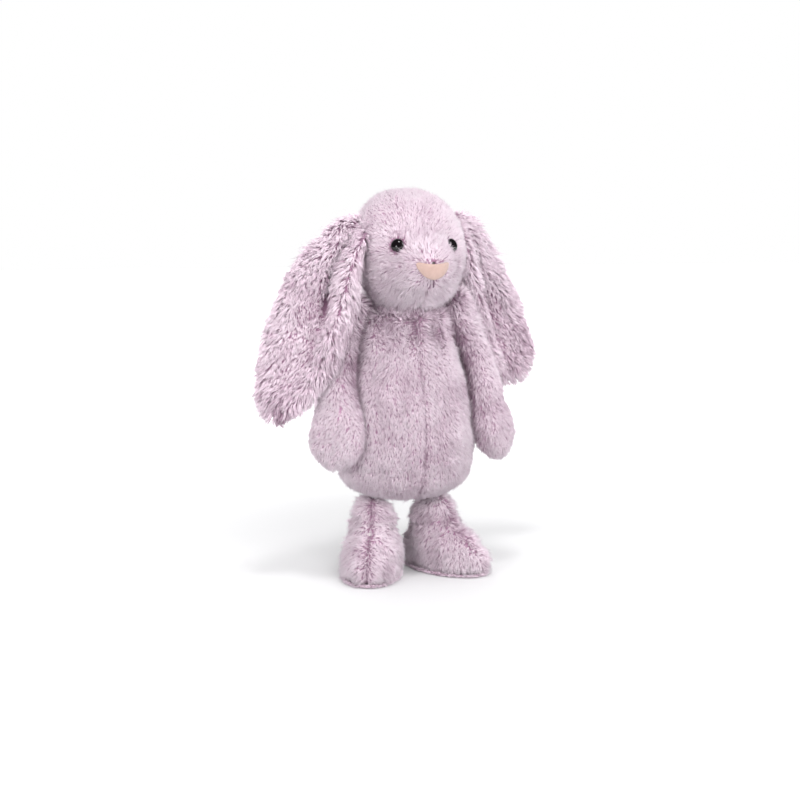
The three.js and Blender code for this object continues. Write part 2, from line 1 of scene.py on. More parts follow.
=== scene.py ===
"""Long-eared plush bunny: sewn panels of lilac fur over stuffing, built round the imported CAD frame."""
import bpy, math
import numpy as np
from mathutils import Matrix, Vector


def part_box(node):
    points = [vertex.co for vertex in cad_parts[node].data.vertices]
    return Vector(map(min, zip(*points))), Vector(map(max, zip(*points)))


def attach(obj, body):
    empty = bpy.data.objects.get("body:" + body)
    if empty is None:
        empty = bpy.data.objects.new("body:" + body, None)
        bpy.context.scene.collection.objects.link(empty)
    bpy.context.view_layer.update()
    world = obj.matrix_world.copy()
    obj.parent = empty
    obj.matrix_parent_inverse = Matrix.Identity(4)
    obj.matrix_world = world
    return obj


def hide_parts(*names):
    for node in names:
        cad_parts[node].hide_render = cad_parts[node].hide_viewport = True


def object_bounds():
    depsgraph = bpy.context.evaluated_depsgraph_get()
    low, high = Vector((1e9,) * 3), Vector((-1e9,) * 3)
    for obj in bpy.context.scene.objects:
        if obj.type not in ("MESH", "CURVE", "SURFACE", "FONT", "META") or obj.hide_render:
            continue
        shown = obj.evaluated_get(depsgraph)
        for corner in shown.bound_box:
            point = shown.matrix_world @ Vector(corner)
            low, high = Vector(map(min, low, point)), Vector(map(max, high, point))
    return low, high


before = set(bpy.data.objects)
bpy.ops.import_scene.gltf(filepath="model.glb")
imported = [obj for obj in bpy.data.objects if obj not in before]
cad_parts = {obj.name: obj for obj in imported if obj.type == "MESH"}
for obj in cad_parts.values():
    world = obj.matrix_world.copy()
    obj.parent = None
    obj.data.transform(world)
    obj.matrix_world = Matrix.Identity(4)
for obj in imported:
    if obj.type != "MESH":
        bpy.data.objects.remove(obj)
cad_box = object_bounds()
PI = math.pi

# ------------------------------------------------------------------ geometry tables, millimetres, as in the CAD
BODY = [[57.5, 0, 0, 0], [61.6, 30.6, 27.5, 28.6], [69.8, 44.9, 40.8, 41.8], [86.1, 55.1, 50.0, 51.0],
        [106.5, 58.6, 53.0, 52.0], [131.0, 57.1, 51.0, 50.0], [154.4, 52.0, 45.9, 43.9],
        [179.9, 43.9, 37.7, 36.7], [197.0, 38.0, 31.5, 33.0], [212.0, 32.5, 27.5, 29.0]]
BODY_LOW, BODY_ROUND, BODY_TOP, SHOULDER_ROUND, SIDE_SEAM_Y = 57.5, 86.1, 211.5, 198.0, 2.0
HEAD_C = np.array([0, -15.3, 259.0])
HW, HF, HB, HU, HD, HP = 44.4, 34.0, 43.9, 49.0, 48.4, 2.15
MUZZLE = np.array([0, -0.955, -0.30]) / math.hypot(0.955, 0.30)
EYE_X, EYE_Z, EYE_R, EYE_DOME = 22.0, 261.7, 5.2, 4.2
NOSE_Z, NOSE_HALF, NOSE_UP, NOSE_DOWN = 243.2, 13.2, 6.2, 7.0
NECK_C = np.array([0, -6.0, 211.0])
EAR_R = [[0.0, -34.0, -8.3, 280.8, 11.0, 10.0], [0.12, -47.0, -10.2, 269.6, 17.3, 11.1], [0.3, -66.5, -15.4, 244.2, 25.6, 11.2],
         [0.52, -82.6, -19.8, 207.2, 31.6, 11.2], [0.73, -94.4, -18.8, 174.6, 31.0, 10.7],
         [0.88, -105.4, -16.6, 148.0, 24.6, 10.2], [1.0, -117.5, -15.4, 125.6, 17.6, 9.2]]
EAR_L = [[0.0, 38.0, -6.6, 287.0, 9.0, 9.0], [0.12, 47.0, -2.6, 275.0, 17.0, 10.8], [0.3, 63.3, 9.2, 246.2, 24.5, 11.2],
         [0.52, 83.2, 24.0, 212.6, 29.6, 11.2], [0.73, 95.9, 26.0, 181.4, 31.0, 10.7],
         [0.88, 103.6, 25.4, 160.5, 28.6, 10.2], [1.0, 107.4, 24.4, 142.0, 22.4, 9.2]]
EAR_FACE = {"right": (-0.30, -0.95, 0.0), "left": (0.10, -1.0, 0.0)}
ARM = [[0.0, -41.5, -2.6, 218.0, 11.6, 11.6], [0.14, -47.8, -3.4, 203.5, 13.3, 12.8], [0.4, -58.6, -11.2, 171.8, 14.8, 13.8],
       [0.65, -64.3, -19.4, 139.1, 17.3, 14.8], [0.85, -68.0, -26.0, 112.6, 22.4, 15.3], [1.0, -69.6, -29.0, 88.1, 21.4, 14.3]]
ARM_FACE = (-0.358, -0.9336, 0)
LEG = [[0.0, 12.2, 23.5, 38.8], [3.1, 13.3, 26.0, 41.8], [12.2, 13.3, 27.0, 42.8], [24.5, 8.8, 25.3, 37.0],
       [34.0, 3.2, 22.8, 28.5], [42.0, 0.0, 22.0, 22.0], [52.0, 0.0, 22.0, 22.0], [62.4, 0.0, 22.0, 22.0]]
ANKLE, HIP_Z, HIP_R, SPLAY, SOLE_T, BEANS_TOP = (26.5, -2.0), 42.0, 20.0, 26.0, 2.6, 15.0
TAIL_C, TAIL_R = np.array([0, 58.0, 86.0]), 15.5

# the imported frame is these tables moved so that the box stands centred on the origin
lo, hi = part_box("neck_filling")
SHIFT = np.array([(lo.x + hi.x) * 500 - NECK_C[0], (lo.y + hi.y) * 500 - NECK_C[1], cad_box[0].z * 1000])


# ------------------------------------------------------------------ small tools
def along(tab, t):
    tab = np.array(tab, float); x = tab[:, 0]; y = tab[:, 1:]
    h = np.diff(x); d = np.diff(y, axis=0) / h[:, None]
    m = np.zeros_like(y); m[0] = d[0]; m[-1] = d[-1]
    for i in range(1, len(x) - 1):
        m[i] = (d[i - 1] * h[i] + d[i] * h[i - 1]) / (h[i] + h[i - 1])
    tc = np.clip(np.atleast_1d(np.asarray(t, float)), x[0], x[-1])
    i = np.clip(np.searchsorted(x, tc, side="right") - 1, 0, len(x) - 2)
    u = ((tc - x[i]) / h[i])[:, None]; hh = h[i][:, None]
    return y[i] * (1 + 2 * u) * (1 - u) ** 2 + m[i] * hh * u * (1 - u) ** 2 + y[i + 1] * u * u * (3 - 2 * u) + m[i + 1] * hh * u * u * (u - 1)


def unit(v):
    return v / np.maximum(np.linalg.norm(v, axis=-1, keepdims=True), 1e-9)


def smooth(a, b, x):
    t = np.clip((x - a) / (b - a), 0, 1)
    return t * t * (3 - 2 * t)


def bump(x, c, w):
    return np.exp(-(((x - c) / w) ** 2))


_nr = np.random.default_rng(11)
_waves = [(unit(_nr.normal(size=3)) * _nr.uniform(0.7, 1.5), _nr.uniform(0, 6.28)) for _ in range(14)]


def noise(p, size, seed=0):
    """smooth wobble between about -1 and 1 with features of that size"""
    out = 0.0
    for i, (k, f) in enumerate(_waves):
        out = out + np.sin((p @ k) * (2 * PI / size) * (1 if i % 2 else 0.61) + f + seed * 1.7 + i * seed)
    return out / 3.2


def spow(x, p):
    return np.sign(x) * np.abs(x) ** p


def rows(n, start=0.03, stop=0.97):
    """places from start to stop, closer together at the round ends"""
    th = np.linspace(math.acos(1 - 2 * start), math.acos(1 - 2 * stop), n)
    return (1 - np.cos(th)) / 2


# ------------------------------------------------------------------ surfaces: grids of points
def body_grid(s, phi, inset):
    z0, z1 = BODY_LOW + inset, BODY_TOP + 1.0
    z = z0 + (z1 - z0) * s
    r = along(BODY, z); low = along(BODY, BODY_ROUND)[0]; top = along(BODY, SHOULDER_ROUND)[0]
    k = np.ones_like(z)
    a = z < BODY_ROUND; r[a] = low; k[a] = np.sqrt(np.clip(1 - ((BODY_ROUND - z[a]) / (BODY_ROUND - z0)) ** 2.3, 0, 1))
    b = z > SHOULDER_ROUND; r[b] = top; k[b] = np.sqrt(np.clip(1 - ((z[b] - SHOULDER_ROUND) / (z1 - SHOULDER_ROUND)) ** 3.4, 0, 1))
    c, q = np.cos(phi), np.sin(phi)
    deep = np.where(q > 0, r[:, 2:3], r[:, 1:2])
    x = (r[:, 0:1] - inset) * k[:, None] * spow(c, 0.93)
    y = (deep - inset) * k[:, None] * spow(q, 0.93)
    return np.stack([x, y, np.repeat(z[:, None], x.shape[1], 1)], -1)


def head_radius(d):
    ay = np.where(d[..., 1] < 0, HF, HB); az = np.where(d[..., 2] > 0, HU, HD)
    r = (np.abs(d[..., 0] / HW) ** HP + np.abs(d[..., 1] / ay) ** HP + np.abs(d[..., 2] / az) ** HP) ** (-1 / HP)
    return r + 19.5 * np.exp(-(1 - np.clip(d @ MUZZLE, 0, 1)) / 0.15)


def head_point(d, inset):
    p = HEAD_C + d * (head_radius(d) - inset)[..., None]
    p[..., 1] += 0.22 * np.clip(p[..., 2] - HEAD_C[2], 0, None)
    p[..., 0] *= 1 + 0.06 * smooth(266, 290, p[..., 2])
    return p


def face_at(x, z, inset):
    x, z = np.broadcast_arrays(np.asarray(x, float), np.asarray(z, float))
    lo_, hi_ = np.full(x.shape, -90.0), np.zeros(x.shape)
    for _ in range(36):
        y = (lo_ + hi_) / 2
        v = np.stack([x - HEAD_C[0], y - 0.22 * np.clip(z - HEAD_C[2], 0, None) - HEAD_C[1], z - HEAD_C[2]], -1)
        out = np.linalg.norm(v, axis=-1) > head_radius(unit(v)) - inset
        lo_ = np.where(out, y, lo_); hi_ = np.where(out, hi_, y)
    return np.stack([x, (lo_ + hi_) / 2, z], -1)


def face_frame(x, z, inset):
    p = face_at(x, z, inset); e = 3
    a = face_at(x + e, z, inset) - face_at(x - e, z, inset)
    b = face_at(x, z + e, inset) - face_at(x, z - e, inset)
    n = unit(np.cross(a, b))
    return p, (n if n[1] < 0 else -n)


def spine(tab, face, s):
    e = 0.004
    p = along(tab, s)[:, :3]
    t = unit(along(tab, np.minimum(1, s + e))[:, :3] - along(tab, np.maximum(0, s - e))[:, :3])
    n = np.array(face, float) - (t @ np.array(face, float))[:, None] * t
    n = unit(n)
    return p, t, n, np.cross(n, t)


def capped(s, e0, e1, p0=2.2, p1=2.4):
    k = np.ones_like(s)
    a = s < e0; k[a] *= np.sqrt(np.clip(1 - ((e0 - s[a]) / e0) ** p0, 0, 1))
    b = s > 1 - e1; k[b] *= np.sqrt(np.clip(1 - ((s[b] - 1 + e1) / e1) ** p1, 0, 1))
    return k


def near_arm(P):
    """how far points stand off the arm on their own side, millimetres"""
    row = along(ARM, np.linspace(0, 1, 22))
    Q = P * np.array([1, 1, 1.0]); Q[..., 0] = -np.abs(Q[..., 0])
    return np.min([np.linalg.norm(Q - a[:3], axis=-1) - (a[3] + a[4]) / 2 for a in row], axis=0)


# ------------------------------------------------------------------ meshes
def normals(P, wrap):
    if wrap:
        dv = np.roll(P, -1, 1) - np.roll(P, 1, 1)
    else:
        dv = np.gradient(P, axis=1)
    du = np.gradient(P, axis=0)
    return unit(np.cross(du, dv))


def shell_mesh(P, N, thick, wrap):
    """a closed sheet of cloth: the grid, the grid moved inwards, and walls round its open edges"""
    n, m = P.shape[:2]
    V = np.concatenate([P.reshape(-1, 3), (P - N * thick).reshape(-1, 3)])
    mm = m if wrap else m - 1
    i, j = np.meshgrid(np.arange(n - 1), np.arange(mm), indexing="ij")
    a = (i * m + j).ravel(); b = (i * m + (j + 1) % m).ravel(); c = b + m; d = a + m
    o = n * m
    # orient by the given normals
    cr = np.cross(V[c] - V[a], V[d] - V[b])
    front = np.einsum("ij,ij->i", cr, N.reshape(-1, 3)[a]).sum() > 0
    q = np.stack([a, b, c, d], 1) if front else np.stack([d, c, b, a], 1)
    Q = [q, q[:, ::-1] + o]

    def wall(e):
        e = np.array(e)
        w = np.stack([e[:-1], e[1:], e[1:] + o, e[:-1] + o], 1)
        return w
    top = list(range(m)) + ([0] if wrap else [])
    bot = [(n - 1) * m + k for k in range(m)] + ([(n - 1) * m] if wrap else [])
    s = 1 if front else -1
    W = [wall(top)[:, ::-s] if s > 0 else wall(top), wall(bot) if s > 0 else wall(bot)[:, ::-1]]
    if not wrap:
        left = [k * m for k in range(n)]; right = [k * m + m - 1 for k in range(n)]
        W += [wall(left) if s > 0 else wall(left)[:, ::-1], wall(right)[:, ::-1] if s > 0 else wall(right)]
    Q = np.concatenate(Q + W)
    T = np.concatenate([Q[:, [0, 1, 2]], Q[:, [0, 2, 3]]])
    uv = np.zeros((len(V), 2))
    gi, gj = np.meshgrid(np.linspace(0.02, 0.98, n), np.linspace(0.02, 0.98, m), indexing="ij")
    # the backing takes the dark root end of the fur ramp: painted shade deep in the pile
    uv[:o, 0] = 0.42 + 0.16 * gj.ravel(); uv[:o, 1] = 0.01 + 0.05 * gi.ravel()
    uv[o:, 0] = 0.42 + 0.16 * gj.ravel(); uv[o:, 1] = 0.01 + 0.05 * gi.ravel()
    return V, T, uv


def sphere_mesh(P):
    """closed solid from a grid closed in its second direction, with a point at each end"""
    n, m = P.shape[:2]
    V = np.concatenate([P.reshape(-1, 3), P[0].mean(0)[None], P[-1].mean(0)[None]])
    i, j = np.meshgrid(np.arange(n - 1), np.arange(m), indexing="ij")
    a = (i * m + j).ravel(); b = (i * m + (j + 1) % m).ravel(); c = b + m; d = a + m
    T = [np.stack([a, b, c], 1), np.stack([a, c, d], 1)]
    k = np.arange(m); T.append(np.stack([np.full(m, n * m), (k + 1) % m, k], 1))
    T.append(np.stack([np.full(m, n * m + 1), (n - 1) * m + k, (n - 1) * m + (k + 1) % m], 1))
    T = np.concatenate(T)
    c0 = V.mean(0)
    tri = V[T]; nn = np.cross(tri[:, 1] - tri[:, 0], tri[:, 2] - tri[:, 0])
    if np.einsum("ij,ij->i", nn, tri.mean(1) - c0).sum() < 0:
        T = T[:, ::-1]
    gi, gj = np.meshgrid(np.linspace(0.02, 0.98, n), np.linspace(0.02, 0.98, m), indexing="ij")
    uv = np.concatenate([np.stack([gj.ravel(), gi.ravel()], 1), [[0.5, 0.0]], [[0.5, 1.0]]])
    return V, T, uv


def new_object(name, V, T, uv, mats, mat_index=None, smooth_it=True):
    V = (np.asarray(V) + SHIFT) * 0.001
    me = bpy.data.meshes.new(name)
    me.vertices.add(len(V)); me.vertices.foreach_set("co", V.astype(np.float32).ravel())
    T = np.ascontiguousarray(T, dtype=np.int32)
    me.loops.add(T.size); me.loops.foreach_set("vertex_index", T.ravel())
    me.polygons.add(len(T))
    me.polygons.foreach_set("loop_start", np.arange(0, T.size, 3, dtype=np.int32))
    me.polygons.foreach_set("loop_total", np.full(len(T), 3, dtype=np.int32))
    me.polygons.foreach_set("use_smooth", np.full(len(T), smooth_it))
    if mat_index is not None:
        me.polygons.foreach_set("material_index", np.asarray(mat_index, dtype=np.int32))
    for m in mats:
        me.materials.append(m)
    lay = me.uv_layers.new(name="OFBake")
    lay.data.foreach_set("uv", uv[T.ravel()].astype(np.float32).ravel())
    me.update(calc_edges=True)
    ob = bpy.data.objects.new(name, me)
    bpy.context.scene.collection.objects.link(ob)
    return ob


def declare(ob, body, node):
    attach(ob, body)
    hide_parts(node)
    return ob


# ------------------------------------------------------------------ fur: real tapered strands in small locks
def lerp_grid(G, i, j, u, v, m, wrap):
    G = np.asarray(G)
    j1 = (j + 1) % m if wrap else j + 1
    if G.ndim == 2:
        u_, v_ = u, v
    else:
        u_, v_ = u[:, None], v[:, None]
    return (G[i, j] * (1 - u_) + G[i + 1, j] * u_) * (1 - v_) + (G[i, j1] * (1 - u_) + G[i + 1, j1] * u_) * v_


def grow(P, N, comb, rng, wrap, L, lean, dens, K=6, pinch=0.4, width=0.33, swirl=0.22, tint=None, keep=None, aim=None, fly=0.06, curl=0.25, segs=2):
    """strands on a grid: K strands in each lock, dens strands in a square millimetre"""
    n, m = P.shape[:2]
    full = lambda x: np.broadcast_to(np.asarray(x, float), (n, m))
    T = comb - np.einsum("ijk,ijk->ij", comb, N)[..., None] * N
    T = unit(T)
    if wrap:
        Pn = np.concatenate([P, P[:, :1]], 1)
    else:
        Pn = P
    A = 0.5 * np.linalg.norm(np.cross(Pn[1:, 1:] - Pn[:-1, :-1], Pn[1:, :-1] - Pn[:-1, 1:]), axis=-1)
    D = full(dens)
    Dc = (D[:-1] + D[1:]) / 2
    Dc = (Dc + np.roll(Dc, -1, 1)) / 2 if wrap else (Dc[:, :-1] + Dc[:, 1:]) / 2
    ex = (A * Dc / K * 1.0).ravel()
    cum = np.cumsum(ex); total = int(cum[-1])
    pos = (np.arange(total) + rng.random(total)) / total * cum[-1]
    cell = np.clip(np.searchsorted(cum, pos), 0, len(ex) - 1)
    ci, cj = cell // A.shape[1], cell % A.shape[1]
    u, v = rng.random(total), rng.random(total)
    g = lambda G: lerp_grid(G, ci, cj, u, v, m, wrap)
    C, Nn, Tt = g(P), unit(g(N)), unit(g(T))
    Lc, lc, wc, pc = g(full(L)), np.radians(g(full(lean))), g(full(width)), g(full(pinch))
    dn, sw = g(full(dens)), g(full(swirl))
    tc = g(full(0.0 if tint is None else tint))
    if keep is not None:
        ok = keep(C)
        C, Nn, Tt, Lc, lc, wc, pc, dn, tc, sw = [q[ok] for q in (C, Nn, Tt, Lc, lc, wc, pc, dn, tc, sw)]
    if aim is not None:                                    # last word on where locks point: (points) -> weight, direction, length factor, lean add
        w, d, lf, la = aim(C)
        d = d - np.einsum("ij,ij->i", d, Nn)[:, None] * Nn
        Tt = unit(Tt * (1 - w)[:, None] + unit(d) * w[:, None]); Lc = Lc * lf; lc = np.clip(lc + np.radians(la), 0.2, 1.45)
    nc = len(C)
    # each lock turns a little, and leans and reaches a little more or less than its neighbours
    turn = sw * (noise(C, 23.0, 3) * 1.3 + noise(C, 7.0, 5) + rng.normal(size=nc) * 0.6)
    B = np.cross(Nn, Tt)
    Tt = Tt * np.cos(turn)[:, None] + B * np.sin(turn)[:, None]
    B = np.cross(Nn, Tt)
    lc = np.clip(lc + rng.normal(size=nc) * 0.12, 0.15, 1.45)
    Lc = Lc * (1 + 0.16 * rng.normal(size=nc).clip(-2, 2))
    # lock tone: random from lock to lock, shifted by the painted shade and tone that each piece passes in
    tint_c = 0.5 + tc + 0.10 * noise(C, 30.0, 9) + 0.13 * rng.normal(size=nc)
    # strands
    rep = lambda a: np.repeat(a, K, 0)
    C, Nn, Tt, B, Lc, lc, wc, pc, tint_c, dn = map(rep, (C, Nn, Tt, B, Lc, lc, wc, pc, tint_c, dn))
    ns = len(C)
    R = 0.62 * np.sqrt(K / np.maximum(dn, 0.05))
    rr = R * np.sqrt(rng.random(ns)); an = rng.random(ns) * 2 * PI
    off = (rr * np.cos(an))[:, None] * Tt + (rr * np.sin(an))[:, None] * B
    stray = rng.random(ns) < fly
    ls = np.clip(lc + rng.normal(size=ns) * 0.10 - stray * 0.35, 0.05, 1.5)
    tw = rng.normal(size=ns) * (0.10 + 0.45 * stray)
    Ts = Tt * np.cos(tw)[:, None] + B * np.sin(tw)[:, None]
    Ls = Lc * (1 + 0.14 * rng.normal(size=ns).clip(-2, 2)) * (1 - 0.22 * (rr / R) ** 2)
    pull = (pc * (1 - stray * 0.9))[:, None]

    def at(l0, l1):
        d0 = Nn * np.cos(ls * l0)[:, None] + Ts * np.sin(ls * l0)[:, None]
        d1 = Nn * np.cos(np.minimum(ls * l1, 1.62))[:, None] + Ts * np.sin(np.minimum(ls * l1, 1.62))[:, None]
        return d0, d1
    d0, d1 = at(0.62, 1.22)
    root = C + off - Nn * 0.5
    side = (rng.normal(size=ns) * curl * 0.12 * Ls)[:, None] * B
    mid = root + d0 * (Ls * 0.48)[:, None] - off * pull * 0.30 + side
    tip = mid + d1 * (Ls * 0.52)[:, None] - off * pull * 0.62 - side * 0.6
    d = unit(tip - root)
    e1 = unit(np.cross(d, Nn + 1e-4)); e2 = np.cross(d, e1)
    a0 = rng.random(ns) * 2 * PI
    w0 = wc * (0.75 + 0.5 * rng.random(ns)) * np.where(stray, 0.7, 1.0) * 1.0
    tn = np.clip(tint_c + 0.07 * rng.normal(size=ns), 0.03, 0.97)
    if segs == 1:                                          # short pile: straight spikes
        V = np.empty((ns, 4, 3)); U = np.empty((ns, 4, 2))
        for k in range(3):
            o = np.cos(a0 + k * 2 * PI / 3)[:, None] * e1 + np.sin(a0 + k * 2 * PI / 3)[:, None] * e2
            V[:, k] = root + o * w0[:, None]
            U[:, k, 0] = tn + 0.012 * (k - 1); U[:, k, 1] = 0.07
        V[:, 3] = tip; U[:, 3, 0] = tn; U[:, 3, 1] = 0.99
        F = np.array([[0, 1, 3], [1, 2, 3], [2, 0, 3], [0, 2, 1]])
        T_ = (np.arange(ns) * 4)[:, None, None] + F[None]
        return V.reshape(-1, 3), T_.reshape(-1, 3), U.reshape(-1, 2)
    V = np.empty((ns, 7, 3)); U = np.empty((ns, 7, 2))
    for k in range(3):
        o = np.cos(a0 + k * 2 * PI / 3)[:, None] * e1 + np.sin(a0 + k * 2 * PI / 3)[:, None] * e2
        V[:, k] = root + o * w0[:, None]
        V[:, 3 + k] = mid + o * (w0 * 0.82)[:, None]
        U[:, k, 0] = U[:, 3 + k, 0] = tn + 0.012 * (k - 1)
        U[:, k, 1] = 0.07; U[:, 3 + k, 1] = 0.55
    V[:, 6] = tip; U[:, 6, 0] = tn; U[:, 6, 1] = 0.99
    F = np.array([[0, 1, 4], [0, 4, 3], [1, 2, 5], [1, 5, 4], [2, 0, 3], [2, 3, 5], [3, 4, 6], [4, 5, 6], [5, 3, 6], [0, 2, 1]])
    T_ = (np.arange(ns) * 7)[:, None, None] + F[None]
    return V.reshape(-1, 3), T_.reshape(-1, 3), U.reshape(-1, 2)


def furry(name, node, body, P, out, comb, seed, wrap=False, thick=1.8, slot="fur_plush", mat=None, fill=0.8, floor=None, **fur):
    """a panel of fur fabric: cloth skin with its pile in one mesh; out tells which way is outwards"""
    N = normals(P, wrap)
    if np.einsum("ijk,ijk->ij", N, out).sum() < 0:
        N = -N
    rng = np.random.default_rng(seed)
    V0, T0, U0 = shell_mesh(P, N, thick, wrap)
    V1, T1, U1 = grow(P, N, comb, rng, wrap, **fur)
    if floor is not None:                                  # the pile bends out along the ground, it does not go through it
        V1[:, 2] = np.where(V1[:, 2] < floor + 0.3, floor + 0.3 * np.exp(np.minimum(V1[:, 2] - floor - 0.3, 0) / 0.3), V1[:, 2])
    V = np.concatenate([V0, V1]); T = np.concatenate([T0, T1 + len(V0)]); U = np.concatenate([U0, U1])
    ob = new_object(name, V, T, U, [mat or FUR])
    declare(ob, body, node)
    return ob


# ------------------------------------------------------------------ materials
def lin(c):
    return tuple(((x / 255) / 12.92 if x / 255 <= 0.04045 else ((x / 255 + 0.055) / 1.055) ** 2.4) for x in c) + (1.0,)


def material(name):
    m = bpy.data.materials.new(name)
    m.use_nodes = True
    nt = m.node_tree
    b = nt.nodes["Principled BSDF"]
    return m, nt, b


def ramp(nt, stops):
    r = nt.nodes.new("ShaderNodeValToRGB")
    e = r.color_ramp.elements
    while len(e) < len(stops):
        e.new(0.5)
    for k, (p, c) in enumerate(stops):
        e[k].position = p; e[k].color = lin(c)
    return r


def fur_material(name, stops, shade, sheen=0.35, rough=0.62):
    """colour runs from the backing to the tips, the dark root end being painted shade deep in the pile, and differs a
    little from lock to lock, darker where a piece paints shade into the lock tone; all of it depends on the strand map
    """
    m, nt, b = material(name)
    uv = nt.nodes.new("ShaderNodeUVMap"); uv.uv_map = "OFBake"
    sep = nt.nodes.new("ShaderNodeSeparateXYZ"); nt.links.new(uv.outputs["UV"], sep.inputs[0])
    r = ramp(nt, stops); nt.links.new(sep.outputs["Y"], r.inputs["Fac"])
    t = ramp(nt, shade); nt.links.new(sep.outputs["X"], t.inputs["Fac"])
    mix = nt.nodes.new("ShaderNodeMix"); mix.data_type = "RGBA"; mix.blend_type = "MULTIPLY"; mix.inputs[0].default_value = 1.0
    nt.links.new(r.outputs["Color"], mix.inputs[6]); nt.links.new(t.outputs["Color"], mix.inputs[7])
    sc = nt.nodes.new("ShaderNodeVectorMath"); sc.operation = "MULTIPLY"; sc.inputs[1].default_value = (60, 14, 1)
    nt.links.new(uv.outputs["UV"], sc.inputs[0])
    nz = nt.nodes.new("ShaderNodeTexNoise"); nz.inputs["Scale"].default_value = 1.0; nz.inputs["Detail"].default_value = 2.0
    nt.links.new(sc.outputs[0], nz.inputs["Vector"])
    nr = ramp(nt, [(0.3, (240, 236, 239)), (0.7, (255, 255, 255))]); nt.links.new(nz.outputs["Fac"], nr.inputs["Fac"])
    mx2 = nt.nodes.new("ShaderNodeMix"); mx2.data_type = "RGBA"; mx2.blend_type = "MULTIPLY"; mx2.inputs[0].default_value = 1.0
    nt.links.new(mix.outputs[2], mx2.inputs[6]); nt.links.new(nr.outputs["Color"], mx2.inputs[7])
    nt.links.new(mx2.outputs[2], b.inputs["Base Color"])
    b.inputs["Roughness"].default_value = rough
    b.inputs["Specular IOR Level"].default_value = 0.25
    b.inputs["Sheen Weight"].default_value = sheen
    b.inputs["Sheen Roughness"].default_value = 0.5
    b.inputs["Sheen Tint"].default_value = lin((250, 240, 248))
    return m


# lock tone ramp: the middle gives random tone from lock to lock, the dark low end is painted shade
LOCK_TONE_AND_PAINTED_SHADE = [(0.0, (150, 116, 138)), (0.22, (224, 211, 220)), (0.5, (251, 246, 249)), (1.0, (255, 254, 255))]
# each ramp's dark root end, which the backing also takes, is painted shade deep in the pile
FUR = fur_material("fur_plush", [(0.0, (140, 104, 128)), (0.14, (200, 172, 190)), (0.36, (244, 231, 239)), (1.0, (252, 246, 250))], LOCK_TONE_AND_PAINTED_SHADE)
LINING = fur_material("ear_lining_plush", [(0.0, (134, 98, 122)), (0.14, (192, 162, 181)), (0.36, (241, 225, 235)), (1.0, (251, 243, 248))], LOCK_TONE_AND_PAINTED_SHADE)
SOLE = fur_material("sole_plush", [(0.0, (168, 142, 158)), (0.2, (208, 184, 199)), (0.45, (238, 223, 233)), (1.0, (250, 241, 247))], LOCK_TONE_AND_PAINTED_SHADE)


def surface_material(name, c0, c1, scale, rough, bump_scale, bump_strength, bump_dist, detail=6.0, sheen=0.0, stretch=(1, 1, 1), rough_vary=0.08):
    m, nt, b = material(name)
    tc = nt.nodes.new("ShaderNodeTexCoord")
    mp = nt.nodes.new("ShaderNodeMapping"); mp.inputs["Scale"].default_value = stretch
    nt.links.new(tc.outputs["Object"], mp.inputs["Vector"])
    nz = nt.nodes.new("ShaderNodeTexNoise"); nz.inputs["Scale"].default_value = scale; nz.inputs["Detail"].default_value = detail
    nt.links.new(mp.outputs[0], nz.inputs["Vector"])
    r = ramp(nt, [(0.3, c0), (0.7, c1)]); nt.links.new(nz.outputs["Fac"], r.inputs["Fac"])
    nt.links.new(r.outputs["Color"], b.inputs["Base Color"])
    mr = nt.nodes.new("ShaderNodeMapRange"); mr.inputs["To Min"].default_value = rough - rough_vary; mr.inputs["To Max"].default_value = rough + rough_vary
    nt.links.new(nz.outputs["Fac"], mr.inputs["Value"]); nt.links.new(mr.outputs[0], b.inputs["Roughness"])
    n2 = nt.nodes.new("ShaderNodeTexNoise"); n2.inputs["Scale"].default_value = bump_scale; n2.inputs["Detail"].default_value = 4.0
    nt.links.new(mp.outputs[0], n2.inputs["Vector"])
    bp = nt.nodes.new("ShaderNodeBump"); bp.inputs["Strength"].default_value = bump_strength; bp.inputs["Distance"].default_value = bump_dist
    nt.links.new(n2.outputs["Fac"], bp.inputs["Height"]); nt.links.new(bp.outputs[0], b.inputs["Normal"])
    b.inputs["Sheen Weight"].default_value = sheen
    return m


FIBRE = surface_material("polyester_filling", (222, 219, 214), (250, 249, 246), 90, 0.85, 420, 0.6, 0.0008, sheen=0.3, stretch=(1, 1, 0.35))
CLOTH = surface_material("bead_pouch_cloth", (214, 207, 210), (238, 233, 235), 60, 0.85, 900, 0.5, 0.0004)
BEAD = surface_material("bead_plastic", (232, 231, 228), (250, 249, 246), 300, 0.4, 600, 0.15, 0.0002)
WASHER = surface_material("washer_plastic", (222, 222, 224), (238, 238, 240), 120, 0.45, 500, 0.15, 0.0002)
SUEDE = surface_material("nose_suede", (157, 132, 124), (168, 143, 135), 260, 0.86, 1700, 0.45, 0.00025, sheen=0.35, rough_vary=0.05)
THREAD = surface_material("stitch_thread", (74, 42, 66), (104, 66, 92), 900, 0.7, 2400, 0.5, 0.0002, sheen=0.2, stretch=(1, 1, 3))
EYE, nt, b = material("eye_gloss")
tcx = nt.nodes.new("ShaderNodeTexCoord")
nzx = nt.nodes.new("ShaderNodeTexNoise"); nzx.inputs["Scale"].default_value = 180; nt.links.new(tcx.outputs["Object"], nzx.inputs["Vector"])
rx = ramp(nt, [(0.3, (4, 3, 5)), (0.7, (13, 8, 11))]); nt.links.new(nzx.outputs["Fac"], rx.inputs["Fac"])
nt.links.new(rx.outputs["Color"], b.inputs["Base Color"])
b.inputs["Roughness"].default_value = 0.03
b.inputs["Specular IOR Level"].default_value = 0.42
b.inputs["Coat Weight"].default_value = 0.04
b.inputs["Coat Roughness"].default_value = 0.03

